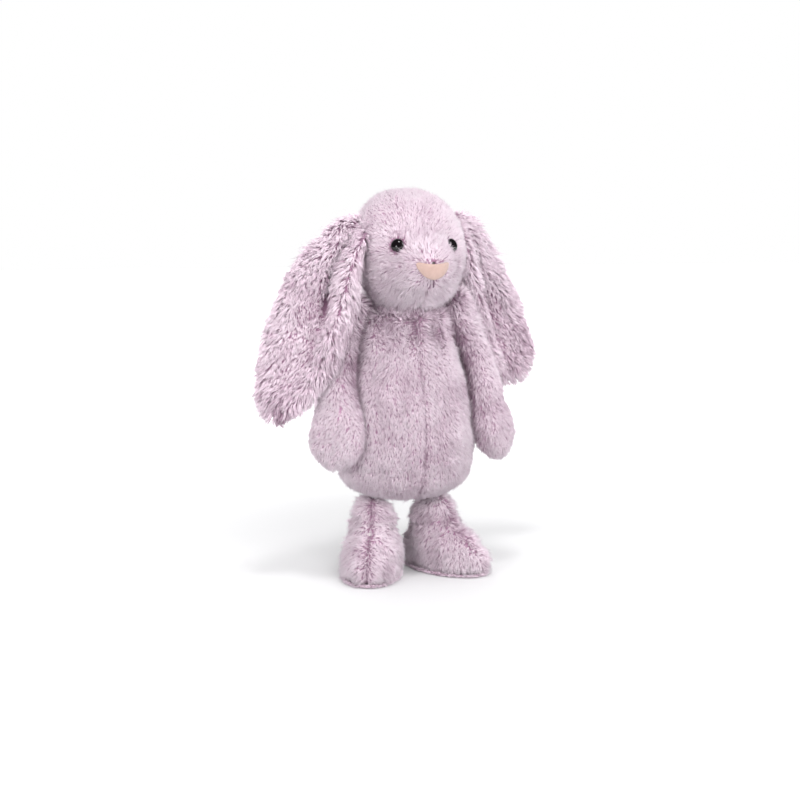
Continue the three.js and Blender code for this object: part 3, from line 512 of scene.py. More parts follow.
# ------------------------------------------------------------------ camera first
S = SHIFT * 0.001
target = Vector((0, -0.005, 0.155)) + Vector(S)
az = math.radians(-21.0)
flat = math.sqrt(1.020 ** 2 - 0.115 ** 2)
cam_data = bpy.data.cameras.new("camera")
cam = bpy.data.objects.new("camera", cam_data)
bpy.context.scene.collection.objects.link(cam)
cam.location = target + Vector((math.sin(az) * flat, -math.cos(az) * flat, 0.115))
cam.rotation_euler = (target - cam.location).to_track_quat("-Z", "Y").to_euler()
cam_data.sensor_width = 36.0
cam_data.lens = 57.5
cam_data.shift_x, cam_data.shift_y = -0.0069, -0.0256
cam_data.clip_start, cam_data.clip_end = 0.05, 20
bpy.context.scene.camera = cam

# ------------------------------------------------------------------ body: four panels that meet at the centre and side seams
down = np.array([0, 0, -1.0])
INSET = 3.5
nrow, ncol = (60, 34)
for part, seed in (("front_right", 1), ("front_left", 2), ("back_right", 3), ("back_left", 4)):
    right, front = part.endswith("right"), part.startswith("front")
    # angles of this quarter; the side seam lies a little behind the middle
    a, c = {"front_right": (PI, 1.5 * PI), "front_left": (1.5 * PI, 2 * PI), "back_right": (0.5 * PI, PI), "back_left": (0, 0.5 * PI)}[part]
    phi = np.linspace(a, c, ncol)
    s = rows(nrow, 0.004, 0.985)
    P = body_grid(s, phi, INSET)
    ps = math.asin(min(1, (SIDE_SEAM_Y / 50) ** (1 / 0.93)))
    # lean the seam: move the quarter's edge to y = SIDE_SEAM_Y
    edge = np.clip(1 - np.abs(P[..., 1]) / 12, 0, 1)
    P[..., 1] += SIDE_SEAM_Y * edge
    out = P - np.array([0, 0, 130.0]); out[..., 2] *= 0.25
    outn = unit(out)
    dx = np.abs(P[..., 0]); dy = np.abs(P[..., 1] - SIDE_SEAM_Y)
    z = P[..., 2]
    low = smooth(70, 84, z)
    lump = 0.9 * noise(P, 60, 1) + 0.45 * noise(P, 24, 2)
    P = P + outn * (lump * (0.3 + 0.7 * low))[..., None]
    chest = smooth(172, 196, z) * (1 if front else 0.5)
    P = P + outn * (chest * (1.6 * np.sin(P[..., 0] * 0.34 + noise(P, 40, 4) * 1.6) * smooth(60, 20, np.abs(P[..., 0]))))[..., None]
    seam = np.exp(-((dx / 2.6) ** 2)) * smooth(60, 72, z) + 0.8 * np.exp(-((dy / 2.6) ** 2))
    P = P - outn * (1.2 * seam)[..., None]
    comb = np.broadcast_to(down, P.shape).copy()
    comb[..., 0] += np.sign(P[..., 0]) * (0.10 + 0.42 * np.exp(-dx / 3.0) * smooth(0.0, 2.0, dx))
    comb[..., 1] += np.where(P[..., 1] > SIDE_SEAM_Y, 1, -1) * 0.4 * np.exp(-dy / 4.0)
    comb[..., 0] += np.sin(P[..., 0] * 0.2) * chest * 0.6
    under = smooth(76, 64, z)
    comb += outn * 0.0
    comb[..., :2] += (P[..., :2] / 40) * (-0.4 * under)[..., None]
    L = 6.2 + 2.4 * chest + 3.0 * smooth(202, 210, z) - 0.6 * np.exp(-((dx / 2.0) ** 2)) + 0.5 * noise(P, 34, 8)
    lean = 63 - 10 * chest - 26 * smooth(202, 210, z) + 3 * noise(P, 20, 6)
    # the lock tone below: painted shade on the chest under the chin and on the body beside the arm, and darker along
    # the centre seam
    furry(f"fur_body_{part}", f"body_panel_{part}", "torso", P, outn, comb, seed, L=L, lean=lean, dens=3.7 if front else 2.6, K=5, segs=1,
          pinch=0.18 + 0.4 * chest, width=0.23, swirl=0.17 + 0.25 * chest, tint=-0.28 * smooth(172, 200, z) - 0.24 * smooth(8.5, 2.5, near_arm(P)) - 0.24 * np.exp(-((dx / 1.3) ** 2)))

# ------------------------------------------------------------------ head: gusset over the crown and two sides
eyes = [face_frame(sx * EYE_X, EYE_Z, 3.2) for sx in (-1, 1)]
NOSE_P = face_at(0.0, NOSE_Z, 0.0)


def nose_outline(k=14):
    H, Up, Dn = NOSE_HALF, NOSE_UP, NOSE_DOWN
    seg = [((-H + 2.4, Up), (0, Up - 2.6), (H - 2.4, Up)), ((H - 2.4, Up), (H + 1.0, Up + 0.2), (H - 0.5, Up - 4.0)),
           ((H - 0.5, Up - 4.0), (H - 5.4, -Dn + 0.5), (0, -Dn)), ((0, -Dn), (-H + 5.4, -Dn + 0.5), (-H + 0.5, Up - 4.0)),
           ((-H + 0.5, Up - 4.0), (-H - 1.0, Up + 0.2), (-H + 2.4, Up))]
    pts = []
    for p0, p1, p2 in seg:
        t = np.linspace(0, 1, k, endpoint=False)[:, None]
        pts.append((1 - t) ** 2 * np.array(p0) + 2 * t * (1 - t) * np.array(p1) + t * t * np.array(p2))
    return np.concatenate(pts)


outline = nose_outline()


def in_nose(x, z, grow_by=0.0):
    """signed distance to the nose's outline in its own plane, negative inside"""
    p = np.stack([x, z - NOSE_Z], -1)
    a = outline; b2 = np.roll(outline, -1, 0)
    ab = b2 - a
    t = np.clip(((p[:, None] - a) * ab).sum(-1) / (ab ** 2).sum(-1), 0, 1)
    d = np.linalg.norm(p[:, None] - (a + t[..., None] * ab), axis=-1).min(1)
    inside = np.zeros(len(p), bool)
    for (x0, y0), (x1, y1) in zip(a, b2):
        c = ((y0 > p[:, 1]) != (y1 > p[:, 1]))
        xx = (x1 - x0) * (p[:, 1] - y0) / ((y1 - y0) if abs(y1 - y0) > 1e-9 else 1e-9) + x0
        inside ^= c & (p[:, 0] < xx)
    return np.where(inside, -d, d) - grow_by


def head_keep(C):
    ok = np.ones(len(C), bool)
    for p, n in eyes:
        v = C - p; r = np.linalg.norm(v - (v @ n)[:, None] * n, axis=1)
        ok &= ~((r < 5.5) & (np.linalg.norm(v, axis=1) < 14))
    nearn = (C[:, 1] < -45) & (np.abs(C[:, 0]) < 20) & (np.abs(C[:, 2] - NOSE_Z) < 14)
    if nearn.any():
        d = in_nose(C[nearn][:, 0], C[nearn][:, 2])
        k = np.ones(nearn.sum(), bool); k[d < -2.4] = False
        ok[np.where(nearn)[0][~k]] = False
    return ok


def head_aim(C):
    w = np.zeros(len(C)); d = np.zeros_like(C) + down; lf = np.ones(len(C)); la = np.zeros(len(C))
    for p, n in eyes:
        v = C - p; v = v - (v @ n)[:, None] * n
        r = np.linalg.norm(v, axis=1)
        k = np.exp(-np.clip(r - 5.2, 0, None) / 4.5) * (np.linalg.norm(C - p, axis=1) < 30)
        new = k > w
        d[new] = v[new]; w = np.maximum(w, k)
        lf = lf * (1 - 0.32 * np.exp(-np.clip(r - 5.2, 0, None) / 2.5) * (r < 14))
        la = la + 4 * k
    near = (C[:, 1] < -40)
    v = C - NOSE_P; r = np.linalg.norm(v * np.array([0.75, 0.6, 1.2]), axis=1)
    v[:, 0] *= 1 - 0.65 * smooth(3, 8, v[:, 2])
    k = np.exp(-np.clip(r - 9, 0, None) / 6.0) * near
    new = k > w
    d[new] = v[new]; w = np.maximum(w, k)
    la = la + 8 * k; lf = lf * (1 - 0.45 * np.exp(-np.clip(r - 9, 0, None) / 4.5) * near)
    return np.clip(w, 0, 0.95), d, lf, la


def head_dir(lam, mu):
    return np.stack([np.sin(lam), -np.cos(lam) * np.cos(mu), np.cos(lam) * np.sin(mu)], -1)


G0, G1 = math.radians(-11), math.radians(206)


def gusset_half(mu):
    m = np.asarray(mu)
    return np.radians(2.0) + math.radians(19.5) * smooth(G0, math.radians(28), m) * smooth(G1, math.radians(160), m)


HEAD_INSET = 2.9


def head_fields(P, dist):
    """comb, length, lean and lump for the head's skin"""
    outn = unit(P - HEAD_C)
    v = P - (NOSE_P + np.array([0, 6.0, 0]))
    comb = unit(v)
    comb[..., 0] *= 1 - 0.6 * smooth(246, 252, P[..., 2]) * smooth(16, 8, np.abs(P[..., 0])) * smooth(-30, -45, P[..., 1])      # straight up the bridge of the nose
    comb[..., 2] -= 0.55 * smooth(270, 250, P[..., 2]) * smooth(-52, -20, P[..., 1])
    comb[..., 1] += 0.5 * smooth(262, 292, P[..., 2])
    crown = smooth(270, 290, P[..., 2])
    brow = smooth(258, 274, P[..., 2])
    chin = smooth(236, 224, P[..., 2])
    face = smooth(-30, -50, P[..., 1])
    L = 6.2 - 1.0 * crown - 0.6 * brow + 3.2 * chin + 0.6 * face * (1 - brow) + 0.4 * noise(P, 26, 3)
    lean = 60 + 6 * crown + 3 * brow - 6 * chin - 3 * face + 3 * noise(P, 18, 4)
    lump = 0.6 * noise(P, 42, 5) * (1 - crown * 0.7) + 0.35 * noise(P, 17, 6) * (1 - crown)
    lump = lump - 0.5 * np.exp(-((dist / 2.4) ** 2)) * (1 - 0.9 * smooth(244, 252, P[..., 2]))
    # the eyes sit in shallow sockets
    for p, n in eyes:
        r = np.linalg.norm(P - p, axis=-1)
        lump = lump - 1.5 * np.exp(-((r / 9.0) ** 2))
    return outn, comb, L, lean, lump, crown


for which in ("gusset", "side_right", "side_left"):
    if which == "gusset":
        mu = np.linspace(G0, G1, 96)
        k = np.linspace(-1, 1, 26)
        lam = gusset_half(mu)[:, None] * k[None, :]
        M = np.repeat(mu[:, None], len(k), 1)
        D = head_dir(lam, M)
        P = head_point(D, HEAD_INSET)
        dist = (1 - np.abs(k))[None, :] * gusset_half(mu)[:, None] * 42
        wrap = False; seed = 21; node = "head_gusset"
    else:
        mu = np.linspace(G0, G0 + 2 * PI, 132, endpoint=False)
        inside = (mu <= G1)
        l0 = np.where(inside, gusset_half(np.minimum(mu, G1)), 0.0)
        chinp = smooth(G1, G1 + 0.25, mu) * smooth(G0 + 2 * PI, G0 + 2 * PI - 0.25, mu)
        l0 = np.where(inside, l0, np.radians(2.0) * (1 - chinp)) + math.radians(0.25)
        k = np.linspace(0, 1, 46) ** 0.92
        lam = l0[None, :] + (math.radians(88.6) - l0[None, :]) * k[:, None]
        sgn = 1 if which.endswith("left") else -1
        D = head_dir(lam * sgn, np.repeat(mu[None, :], len(k), 0))
        P = head_point(D, HEAD_INSET)
        dist = (lam - l0[None, :]) * 42
        wrap = True; seed = 22 if sgn > 0 else 23; node = "head_" + which
    outn, comb, L, lean, lump, crown = head_fields(P, dist)
    P = P + outn * lump[..., None]
    # part the pile along the seams
    away = np.sign(P[..., 0]) * np.exp(-dist / 3.0) * 0.5 * (1 if which != "gusset" else -1)
    comb[..., 0] += away * (1 - 0.95 * smooth(244, 251, P[..., 2]))
    # the lock tone below: painted shade under the chin, and a touch lighter on the crown
    furry("fur_head_" + which, node, "head", P, outn, comb, seed, wrap=wrap, L=L, lean=lean, dens=4.3, K=5, segs=1,
          pinch=0.20 - 0.12 * crown, width=0.22 - 0.02 * crown, swirl=0.26 - 0.14 * crown, keep=head_keep, aim=head_aim, tint=0.02 * crown - 0.05 * smooth(226, 216, P[..., 2]), fly=0.05)

# ------------------------------------------------------------------ ears: fur back, softer lining, thick border folded forwards
for side, tab in (("right", EAR_R), ("left", EAR_L)):
    face = EAR_FACE[side]
    pmid, tmid, nmid, wmid = spine(tab, face, np.array([0.5]))
    inner = np.sign(wmid[0, 0]) * (1 if side == "right" else -1)
    n_s, n_c = 74, 46
    s0 = rows(n_s, 0.004, 0.996)
    length = np.linalg.norm(np.diff(along(tab, np.linspace(0, 1, 41))[:, :3], axis=0), axis=1).sum()
    ei = 5.0 / length
    s = ei * 0.6 + (1 - 1.9 * ei) * s0
    p, t, nn, w = spine(tab, face, s)
    row = along(tab, s)
    k = capped(s0, 0.07, 0.17)
    for layer in ("lining", "back"):
        ph = np.linspace(0, PI, n_c) if layer == "lining" else np.linspace(PI, 2 * PI, n_c)
        c, q_ = np.cos(ph), np.sin(ph)
        a = np.maximum(0.6, row[:, 3] - 5.2) * k; bt = np.maximum(0.5, row[:, 4] - 4.6) * k
        u = a[:, None] * c[None, :]
        q = c[None, :] * inner * np.ones_like(u)
        reach_in = (3.0 if side == "right" else 5.0) * bump(s, 0.42, 0.17)[:, None] * np.clip(q, 0, 1) ** 1.5 * inner
        u = u + reach_in
        deep = (np.sin(PI * np.minimum(1, s * 1.05)) ** 0.7)[:, None]
        wv = bt[:, None] * (np.abs(q_)[None, :] ** 0.85) * np.sign(q_)[None, :]
        ss = s[:, None] * np.ones_like(q)
        roll_on = smooth(0.02, 0.12, ss) * smooth(0.74, 0.5, ss)
        crease_on = smooth(0.05, 0.14, ss) * (1 - 0.8 * smooth(0.42, 0.62, ss))
        qc = 0.04 + 0.34 * smooth(0.1, 0.6, ss) if side == "right" else -0.06 + 0.16 * smooth(0.1, 0.6, ss)
        qr, wr = (0.66, 0.26) if side == "right" else (0.52, 0.30)
        if layer == "lining":
            wv = wv * (1 - 1.0 * crease_on * bump(q, qc, 0.18)) - (4.5 + 3.0 * bump(ss, 0.2, 0.12)) * crease_on * bump(q, qc, 0.12)
            wv = wv + 9.5 * roll_on * bump(q, qr, wr) * (np.abs(q_)[None, :] > 0.02) * np.minimum(1, np.abs(q_)[None, :] * 2.2)
            wv = wv - 2.6 * smooth(0.34, 0.46, ss) * smooth(0.92, 0.8, ss) * bump(q, -0.05, 0.42)
        wv = wv + deep * (5.0 * np.clip(q - 0.1, 0, None) ** 1.5 + 2.8 * np.clip(-q, 0, None) ** 2)
        P = p[:, None] + u[..., None] * w[:, None] + wv[..., None] * nn[:, None]
        outn = np.broadcast_to(nn[:, None] * (1 if layer == "lining" else -1), P.shape) + 0.6 * c[None, :, None] * w[:, None]
        outn = unit(outn)
        P = P + outn * ((0.9 * noise(P, 34, 12) + 0.5 * noise(P, 15, 13)) * smooth(0.0, 0.4, np.abs(q_))[None, :])[..., None]
        ind = w[:, None] * inner                                # towards the head
        comb = np.broadcast_to(t[:, None], P.shape).copy()
        edge = smooth(0.55, 0.95, np.abs(q))
        tipp = smooth(0.80, 0.95, ss)
        if layer == "lining":
            smoothed = smooth(0.34, 0.44, ss) * smooth(0.88, 0.80, ss) * smooth(-0.58, -0.40, q) * smooth(0.50, 0.30, q)
            comb = comb - ind * (0.55 * smooth(0.25, -0.6, q) * (1 - smoothed * 0.4))[..., None]
            comb = comb + ind * (0.85 * np.clip((q - 0.62) / 0.38, -1, 1) * smooth(0.25, 0.45, q))[..., None]
            comb = comb + down * 0.35
            L = 9.8 - 4.2 * smoothed - 5.5 * crease_on * bump(q, qc, 0.15) + 1.5 * tipp + 0.8 * noise(P, 18, 3)
            lean = 61 + 6 * smoothed + 5 * noise(P, 16, 4)
            pinch = 0.46 - 0.30 * smoothed
            dens = 1.75
            width = 0.27 - 0.02 * smoothed
            swirl = 0.19 - 0.05 * smoothed
            # painted shade: darker in the crease between roll and lining and along the edge next to the head; the
            # lining slightly darker overall
            tint = -0.03 - (0.42 if side == "right" else 0.55) * crease_on * bump(q, qc, 0.10) - 0.10 * smooth(0.9, 1.0, q)
            comb = comb + ind * (1.3 * crease_on * np.clip((q - qc) / 0.12, -1, 1) * bump(q, qc, 0.22))[..., None]
            mat, slot, seed = LINING, "ear_lining_plush", 31
        else:
            comb = comb + ind * (0.5 * np.clip(q, -1, 1))[..., None] + down * 0.3
            L = 9.4 + 1.4 * tipp + 0.8 * noise(P, 18, 3); lean = 61 + 4 * noise(P, 16, 4); pinch = 0.4; dens = 1.45; width = 0.28; swirl = 0.18; tint = 0.0
            mat, slot, seed = FUR, "fur_plush", 32
        furry(f"fur_ear_{layer}_{side}", f"ear_{layer}_{side}", "ear_" + side, P, outn, comb, seed + (10 if side == "left" else 0), slot=slot, mat=mat,
              thick=1.2, L=L, lean=lean, dens=dens, K=6, pinch=pinch, width=width, swirl=swirl, tint=tint, fly=0.07, fill=0.35)

# ------------------------------------------------------------------ arms
for side in ("right", "left"):
    mir = 1 if side == "right" else -1
    length = np.linalg.norm(np.diff(along(ARM, np.linspace(0, 1, 41))[:, :3], axis=0), axis=1).sum()
    inset = 3.4
    s0 = rows(64, 0.004, 0.996)
    s = (inset + (length - 2 * inset) * s0) / length
    p, t, nn, w = spine(ARM, ARM_FACE, s)
    p = p + np.array([3.0, -0.5, 9.0]) * smooth(0.22, 0.0, s)[:, None]      # the shoulder tucks in under the cheek
    row = along(ARM, s)
    row[:, 3] += 2.0 * smooth(0.2, 0.0, s)
    if side == "right":                                                      # this arm lies further forward over the belly
        p = p + np.array([2.6, -3.4, 0.0]) * smooth(0.4, 0.8, s)[:, None]; row[:, 3] += 2.4 * smooth(0.35, 0.75, s)
    k = capped(s0, 0.07, 0.19)
    for half in ("front", "back"):
        ph = np.linspace(0, PI, 34) if half == "front" else np.linspace(PI, 2 * PI, 34)
        c, q_ = np.cos(ph), np.sin(ph)
        a = (row[:, 3] - inset) * k; bt = (row[:, 4] - inset) * k
        P = p[:, None] + (a[:, None] * c[None, :])[..., None] * w[:, None] + (bt[:, None] * q_[None, :])[..., None] * nn[:, None]
        outn = unit(P - p[:, None])
        ss = s[:, None] * np.ones((1, len(ph)))
        P = P + outn * (0.7 * noise(P, 36, 15) + 0.4 * noise(P, 16, 16))[..., None]
        sd = np.minimum(ph - ph[0], ph[-1] - ph)[None, :] * a[:, None]
        P = P - outn * (0.9 * np.exp(-((sd / 2.2) ** 2)))[..., None]
        comb = np.broadcast_to(t[:, None], P.shape).copy() + down * 0.3
        sg = np.sign(q_[None, :]) * np.exp(-sd / 3.5) * 0.6 * smooth(0.0, 2.0, sd)
        comb = comb + sg[..., None] * nn[:, None]
        upper = smooth(0.45, 0.15, ss); paw = smooth(0.72, 0.9, ss)
        if mir < 0:
            P = P * np.array([-1, 1, 1]); outn = outn * np.array([-1, 1, 1]); comb = comb * np.array([-1, 1, 1])
        top = smooth(0.16, 0.04, ss)
        L = 6.6 + 2.2 * upper + 1.8 * top - 1.0 * paw + 0.5 * noise(P, 24, 8)
        lean = 62 - 8 * upper - 14 * top + 4 * paw + 3 * noise(P, 18, 5)
        # the lock tone below: painted shade on the side toward the body, on the upper arm under the ear and along the
        # side seams; a touch lighter at the paw
        furry(f"fur_arm_{half}_{side}", f"arm_{half}_{side}", "arm_" + side, P, outn, comb, 50 + (mir < 0) * 2 + (half == "back"),
              L=L, lean=lean, dens=3.1 if half == "front" else 2.4, K=5, segs=1, pinch=0.18 + 0.32 * upper, width=0.24, swirl=0.2 + 0.14 * upper, tint=0.03 * paw - 0.24 * smooth(0.55, 0.95, c)[None, :] - 0.16 * smooth(0.5, 0.25, ss) - 0.20 * np.exp(-((sd / 3.0) ** 2)) * smooth(0.95, 0.8, ss))

# ------------------------------------------------------------------ legs with boot-shaped feet
def leg_grid(z, phi, inset_w, inset_l, top_r):
    row = along(LEG, z)
    a = row[:, 1] - inset_w; bl = row[:, 2] - inset_l; ahead = row[:, 0].copy()
    d = z > HIP_Z
    f = np.sqrt(np.clip(1 - ((z[d] - HIP_Z) / top_r) ** 2, 0, 1))
    a[d] = np.minimum(a[d], top_r) * f; bl[d] = np.minimum(bl[d], top_r) * f; ahead[d] *= f
    x = a[:, None] * np.cos(phi)[None, :]
    y = -ahead[:, None] + bl[:, None] * np.sin(phi)[None, :]
    return x, y, a, bl


for side in ("left", "right"):
    mir = 1 if side == "left" else -1
    turn = math.radians(SPLAY)

    def place(x, y, z):
        X = ANKLE[0] + x * math.cos(turn) - y * math.sin(turn)
        Y = ANKLE[1] + x * math.sin(turn) + y * math.cos(turn)
        return np.stack([X, Y, np.broadcast_to(z, X.shape)], -1)
    turned = lambda vx, vy: np.stack([vx * math.cos(turn) - vy * math.sin(turn), vx * math.sin(turn) + vy * math.cos(turn), np.zeros_like(vx)], -1)
    top_r = HIP_R - 1.6
    z = np.concatenate([np.linspace(SOLE_T + 0.8, HIP_Z, 40), HIP_Z + top_r * np.sin(np.linspace(0.05, 1.45, 22))])
    for half in ("outer", "inner"):
        phi = np.linspace(-PI / 2, PI / 2, 42) if half == "outer" else np.linspace(PI / 2, 1.5 * PI, 42)
        x, y, a, bl = leg_grid(z, phi, 5.6, 4.6, top_r)
        # the foot's edge tucks in to the sole seam
        tuck = (1 - 0.05 * smooth(9, 3, z))[:, None]
        x = x * tuck; y = y * tuck
        P = place(x, y, z[:, None])
        zz = np.repeat(z[:, None], len(phi), 1)
        outn = turned(x, y + 6); outn[..., 2] = np.where(zz > HIP_Z, (zz - HIP_Z), 4 * smooth(14, 30, zz)); outn = unit(outn)
        seamd = np.minimum(phi - phi[0], phi[-1] - phi)[None, :] * np.maximum(a[:, None], 4)
        ankle = bump(zz, 44, 13)
        lump = 0.8 * noise(P, 30, 18) + 0.5 * noise(P, 13, 19) + ankle * 0.8 * noise(P * np.array([0.6, 0.6, 2.2]), 17, 20)
        lump = lump - 1.6 * np.exp(-((seamd / 2.4) ** 2)) * smooth(58, 50, zz)
        P = P + outn * lump[..., None]
        toe = np.clip(-(y) / 45, -0.4, 1)
        cs = np.cos(phi)[None, :] * np.ones_like(x)
        comb = np.broadcast_to(down, P.shape).copy() * (1.0)
        comb = comb + turned(np.sign(cs) * (0.35 + 1.0 * np.exp(-seamd / 6.0) * smooth(0.0, 2.5, seamd)), -0.55 * np.clip(toe, 0, 1) * np.ones_like(x) * smooth(45, 20, zz))
        if mir < 0:
            P = P * np.array([-1, 1, 1]); outn = outn * np.array([-1, 1, 1]); comb = comb * np.array([-1, 1, 1])
        footy = smooth(40, 24, zz)
        L = 7.6 - 0.8 * ankle - 2.4 * smooth(10, 4, zz) + 0.7 * noise(P, 18, 3)
        lean = 67 - 1 * ankle + 4 * noise(P, 15, 4) - 6 * np.exp(-((seamd / 4.0) ** 2))
        # the lock tone below: a touch lighter overall, painted shade round the creased ankle, and darker along the seam
        # parting
        furry(f"fur_leg_{half}_{side}", f"leg_{half}_{side}", "leg_" + side, P, outn, comb, 70 + (mir < 0) * 2 + (half == "inner"),
              L=L, lean=lean, dens=2.9, K=6, segs=1, floor=0.15, pinch=0.30 + 0.28 * np.exp(-((seamd / 5) ** 2)), width=0.245, swirl=0.13 + 0.12 * ankle, tint=0.06 - 0.12 * ankle - 0.28 * np.exp(-((seamd / 2.0) ** 2)))
    # sole: a flat pad of short pile, with a rolled rim at its seam
    nr, m = 16, 84
    ph = np.linspace(0, 2 * PI, m, endpoint=False)
    r = np.concatenate([np.linspace(0.003, 1, nr), [1.012, 1.0, 0.96]])
    zs = np.concatenate([np.full(nr - 1, 0.55), [0.75, 1.5, 2.3, 2.7]])
    lowrow = along(LEG, np.array([1.5]))[0]
    x = (r[:, None] * (lowrow[1] - 2.4)) * np.cos(ph)[None, :]
    y = -lowrow[0] + (r[:, None] * (lowrow[2] - 2.6)) * np.sin(ph)[None, :]
    P = place(x, y, zs[:, None] * np.ones((1, m)))
    outn = np.zeros_like(P); outn[..., 2] = -1.0
    rim = smooth(0.93, 1.0, r)[:, None] * np.ones((1, m))
    outn = outn * (1 - rim[..., None]) + unit(turned(x, y + lowrow[0])) * rim[..., None]
    comb = unit(turned(x, y + lowrow[0])) + np.array([0, 0, 0.2])
    if mir < 0:
        P = P * np.array([-1, 1, 1]); outn = outn * np.array([-1, 1, 1]); comb = comb * np.array([-1, 1, 1])
    furry(f"fur_sole_{side}", f"foot_sole_{side}", "leg_" + side, P, outn, comb, 90 + (mir < 0), wrap=True, thick=1.0, slot="sole_plush", mat=SOLE, fill=0.3,
          L=2.8 + 1.2 * rim, lean=76 - 6 * rim, dens=3.6, K=5, segs=1, pinch=0.25, width=0.26, swirl=0.5, fly=0.0, floor=0.12)
    # stuffing above the beads, and the beads
    zf = np.concatenate([np.linspace(BEANS_TOP + 0.8, HIP_Z, 22), HIP_Z + (top_r - 3.4) * np.sin(np.linspace(0.1, 1.4, 12))])
    ph = np.linspace(0, 2 * PI, 48, endpoint=False)
    x, y, a, bl = leg_grid(zf, ph, 7.6, 7.9, top_r - 3.4)
    P = place(x, y, zf[:, None]); P = P + unit(turned(x, y + 4)) * (0.7 * noise(P, 11, 22) - 0.5)[..., None]
    if mir < 0:
        P = P * np.array([-1, 1, 1])
    V, T, U = sphere_mesh(P)
    ob = new_object(f"stuffing_leg_{side}", V, T, U, [FIBRE]); declare(ob, "leg_" + side, f"leg_filling_{side}")
    ico_v, ico_f = None, None
    tphi = (1 + 5 ** 0.5) / 2
    iv = unit(np.array([[-1, tphi, 0], [1, tphi, 0], [-1, -tphi, 0], [1, -tphi, 0], [0, -1, tphi], [0, 1, tphi], [0, -1, -tphi], [0, 1, -tphi], [tphi, 0, -1], [tphi, 0, 1], [-tphi, 0, -1], [-tphi, 0, 1]], float))
    iff = np.array([[0, 11, 5], [0, 5, 1], [0, 1, 7], [0, 7, 10], [0, 10, 11], [1, 5, 9], [5, 11, 4], [11, 10, 2], [10, 7, 6], [7, 1, 8], [3, 9, 4], [3, 4, 2], [3, 2, 6], [3, 6, 8], [3, 8, 9], [4, 9, 5], [2, 4, 11], [6, 2, 10], [8, 6, 7], [9, 8, 1]])
    vv, ff, seen = list(iv), [], {}

    def middle(i, j):
        key = (min(i, j), max(i, j))
        if key not in seen:
            seen[key] = len(vv); vv.append(unit((np.array(vv[i]) + np.array(vv[j])) / 2))
        return seen[key]
    for i, j, l in iff:
        ab, bc, ca = middle(i, j), middle(j, l), middle(l, i)
        ff += [[i, ab, ca], [j, bc, ab], [l, ca, bc], [ab, bc, ca]]
    vv, ff = np.array(vv), np.array(ff)
    rng = np.random.default_rng(5)
    pts = []
    for li, zb in enumerate((4.9, 8.2, 11.5, 13.4)[:3]):
        for gy in np.arange(-60, 30, 3.9):
            for gx in np.arange(-30, 30, 3.9):
                xx = gx + (1.95 if int(round(gy / 3.9)) % 2 else 0) + (1.2 if li % 2 else 0); yy = gy + (1.2 if li % 2 else 0)
                row = along(LEG, np.array([zb]))[0]
                if (xx / (row[1] - 9.6)) ** 2 + ((yy + row[0]) / (row[2] - 9.8)) ** 2 < 1:
                    pts.append([xx + rng.uniform(-.25, .25), yy + rng.uniform(-.25, .25), zb + rng.uniform(-.2, .2)])
    pts = np.array(pts)
    Pb = place(pts[:, 0], pts[:, 1], pts[:, 2])
    if mir < 0:
        Pb = Pb * np.array([-1, 1, 1])
    rad = 1.62
    V = (Pb[:, None] + vv[None] * rad * np.array([1, 1, 0.92])).reshape(-1, 3)
    T = (np.arange(len(Pb)) * len(vv))[:, None, None] + ff[None]
    U = np.tile(np.stack([0.5 + 0.4 * vv[:, 0], 0.5 + 0.4 * vv[:, 2]], 1), (len(Pb), 1))
    ob = new_object(f"beads_foot_{side}", V, T.reshape(-1, 3), U, [BEAD]); declare(ob, "leg_" + side, f"foot_beads_{side}")

# ------------------------------------------------------------------ tail
th = np.linspace(0.06, PI - 0.06, 30)
ph = np.linspace(0, 2 * PI, 52, endpoint=False)
# polar axis along Y so that the open end can point into the body
D = np.stack([np.sin(th)[:, None] * np.cos(ph)[None, :], np.cos(th)[:, None] * np.ones((1, 52)), np.sin(th)[:, None] * np.sin(ph)[None, :]], -1)
P = TAIL_C + D * (TAIL_R - 5.2)
P = P + D * (0.6 * noise(P, 14, 2))[..., None]
comb = D * 0.2 + np.array([0, -0.55, 0]) + down * 0.55
furry("fur_tail", "tail_cover", "torso", P, D, comb, 101, wrap=True, L=9.6, lean=28, dens=2.6, K=6, pinch=0.35, width=0.28, swirl=0.4, fill=0.7)
P = TAIL_C + D * (TAIL_R - 8.4); P = P + D * (0.5 * noise(P, 8, 3))[..., None]
V, T, U = sphere_mesh(P)
ob = new_object("stuffing_tail", V, T, U, [FIBRE]); declare(ob, "torso", "tail_filling")

# ------------------------------------------------------------------ stuffing of body, head, neck and arms; bead pouch
ph = np.linspace(0, 2 * PI, 72, endpoint=False)
Pb = body_grid(rows(52, 0.01, 0.99), ph, 9.6)
up = Pb[Pb[:, 0, 2] > 83.5]
cap = [up[0] * np.array([f, f, 1]) for f in (0.25, 0.6, 0.9)]
P = np.concatenate([np.array(cap), up]); c0 = np.array([0, 0, 1.0]); outn = unit(P * np.array([1, 1, 0.0]) + 1e-6)
P = P + outn * (0.9 * noise(P, 13, 31) - 0.8)[..., None]
V, T, U = sphere_mesh(P); ob = new_object("stuffing_body", V, T, U, [FIBRE]); declare(ob, "torso", "body_filling")
low = Pb[Pb[:, 0, 2] < 79.5]
gather = [low[-1] * np.array([f, f, 1]) + np.array([0, 0, h]) for f, h in ((0.93, 0.7), (0.7, 0.9), (0.4, 0.6), (0.12, 0.9))]
P = np.concatenate([low, np.array(gather)])
fold = np.sin(ph * 22)[None, :] * smooth(70, 80, P[..., 2]) * 0.7
P = P + unit(P * np.array([1, 1, 0.0]) + 1e-6) * (fold + 0.5 * noise(P, 18, 33) - 0.9)[..., None]
V, T, U = sphere_mesh(P); ob = new_object("bag_of_beads", V, T, U, [CLOTH]); declare(ob, "torso", "bead_pouch")
th = np.linspace(0.05, PI - 0.05, 44)
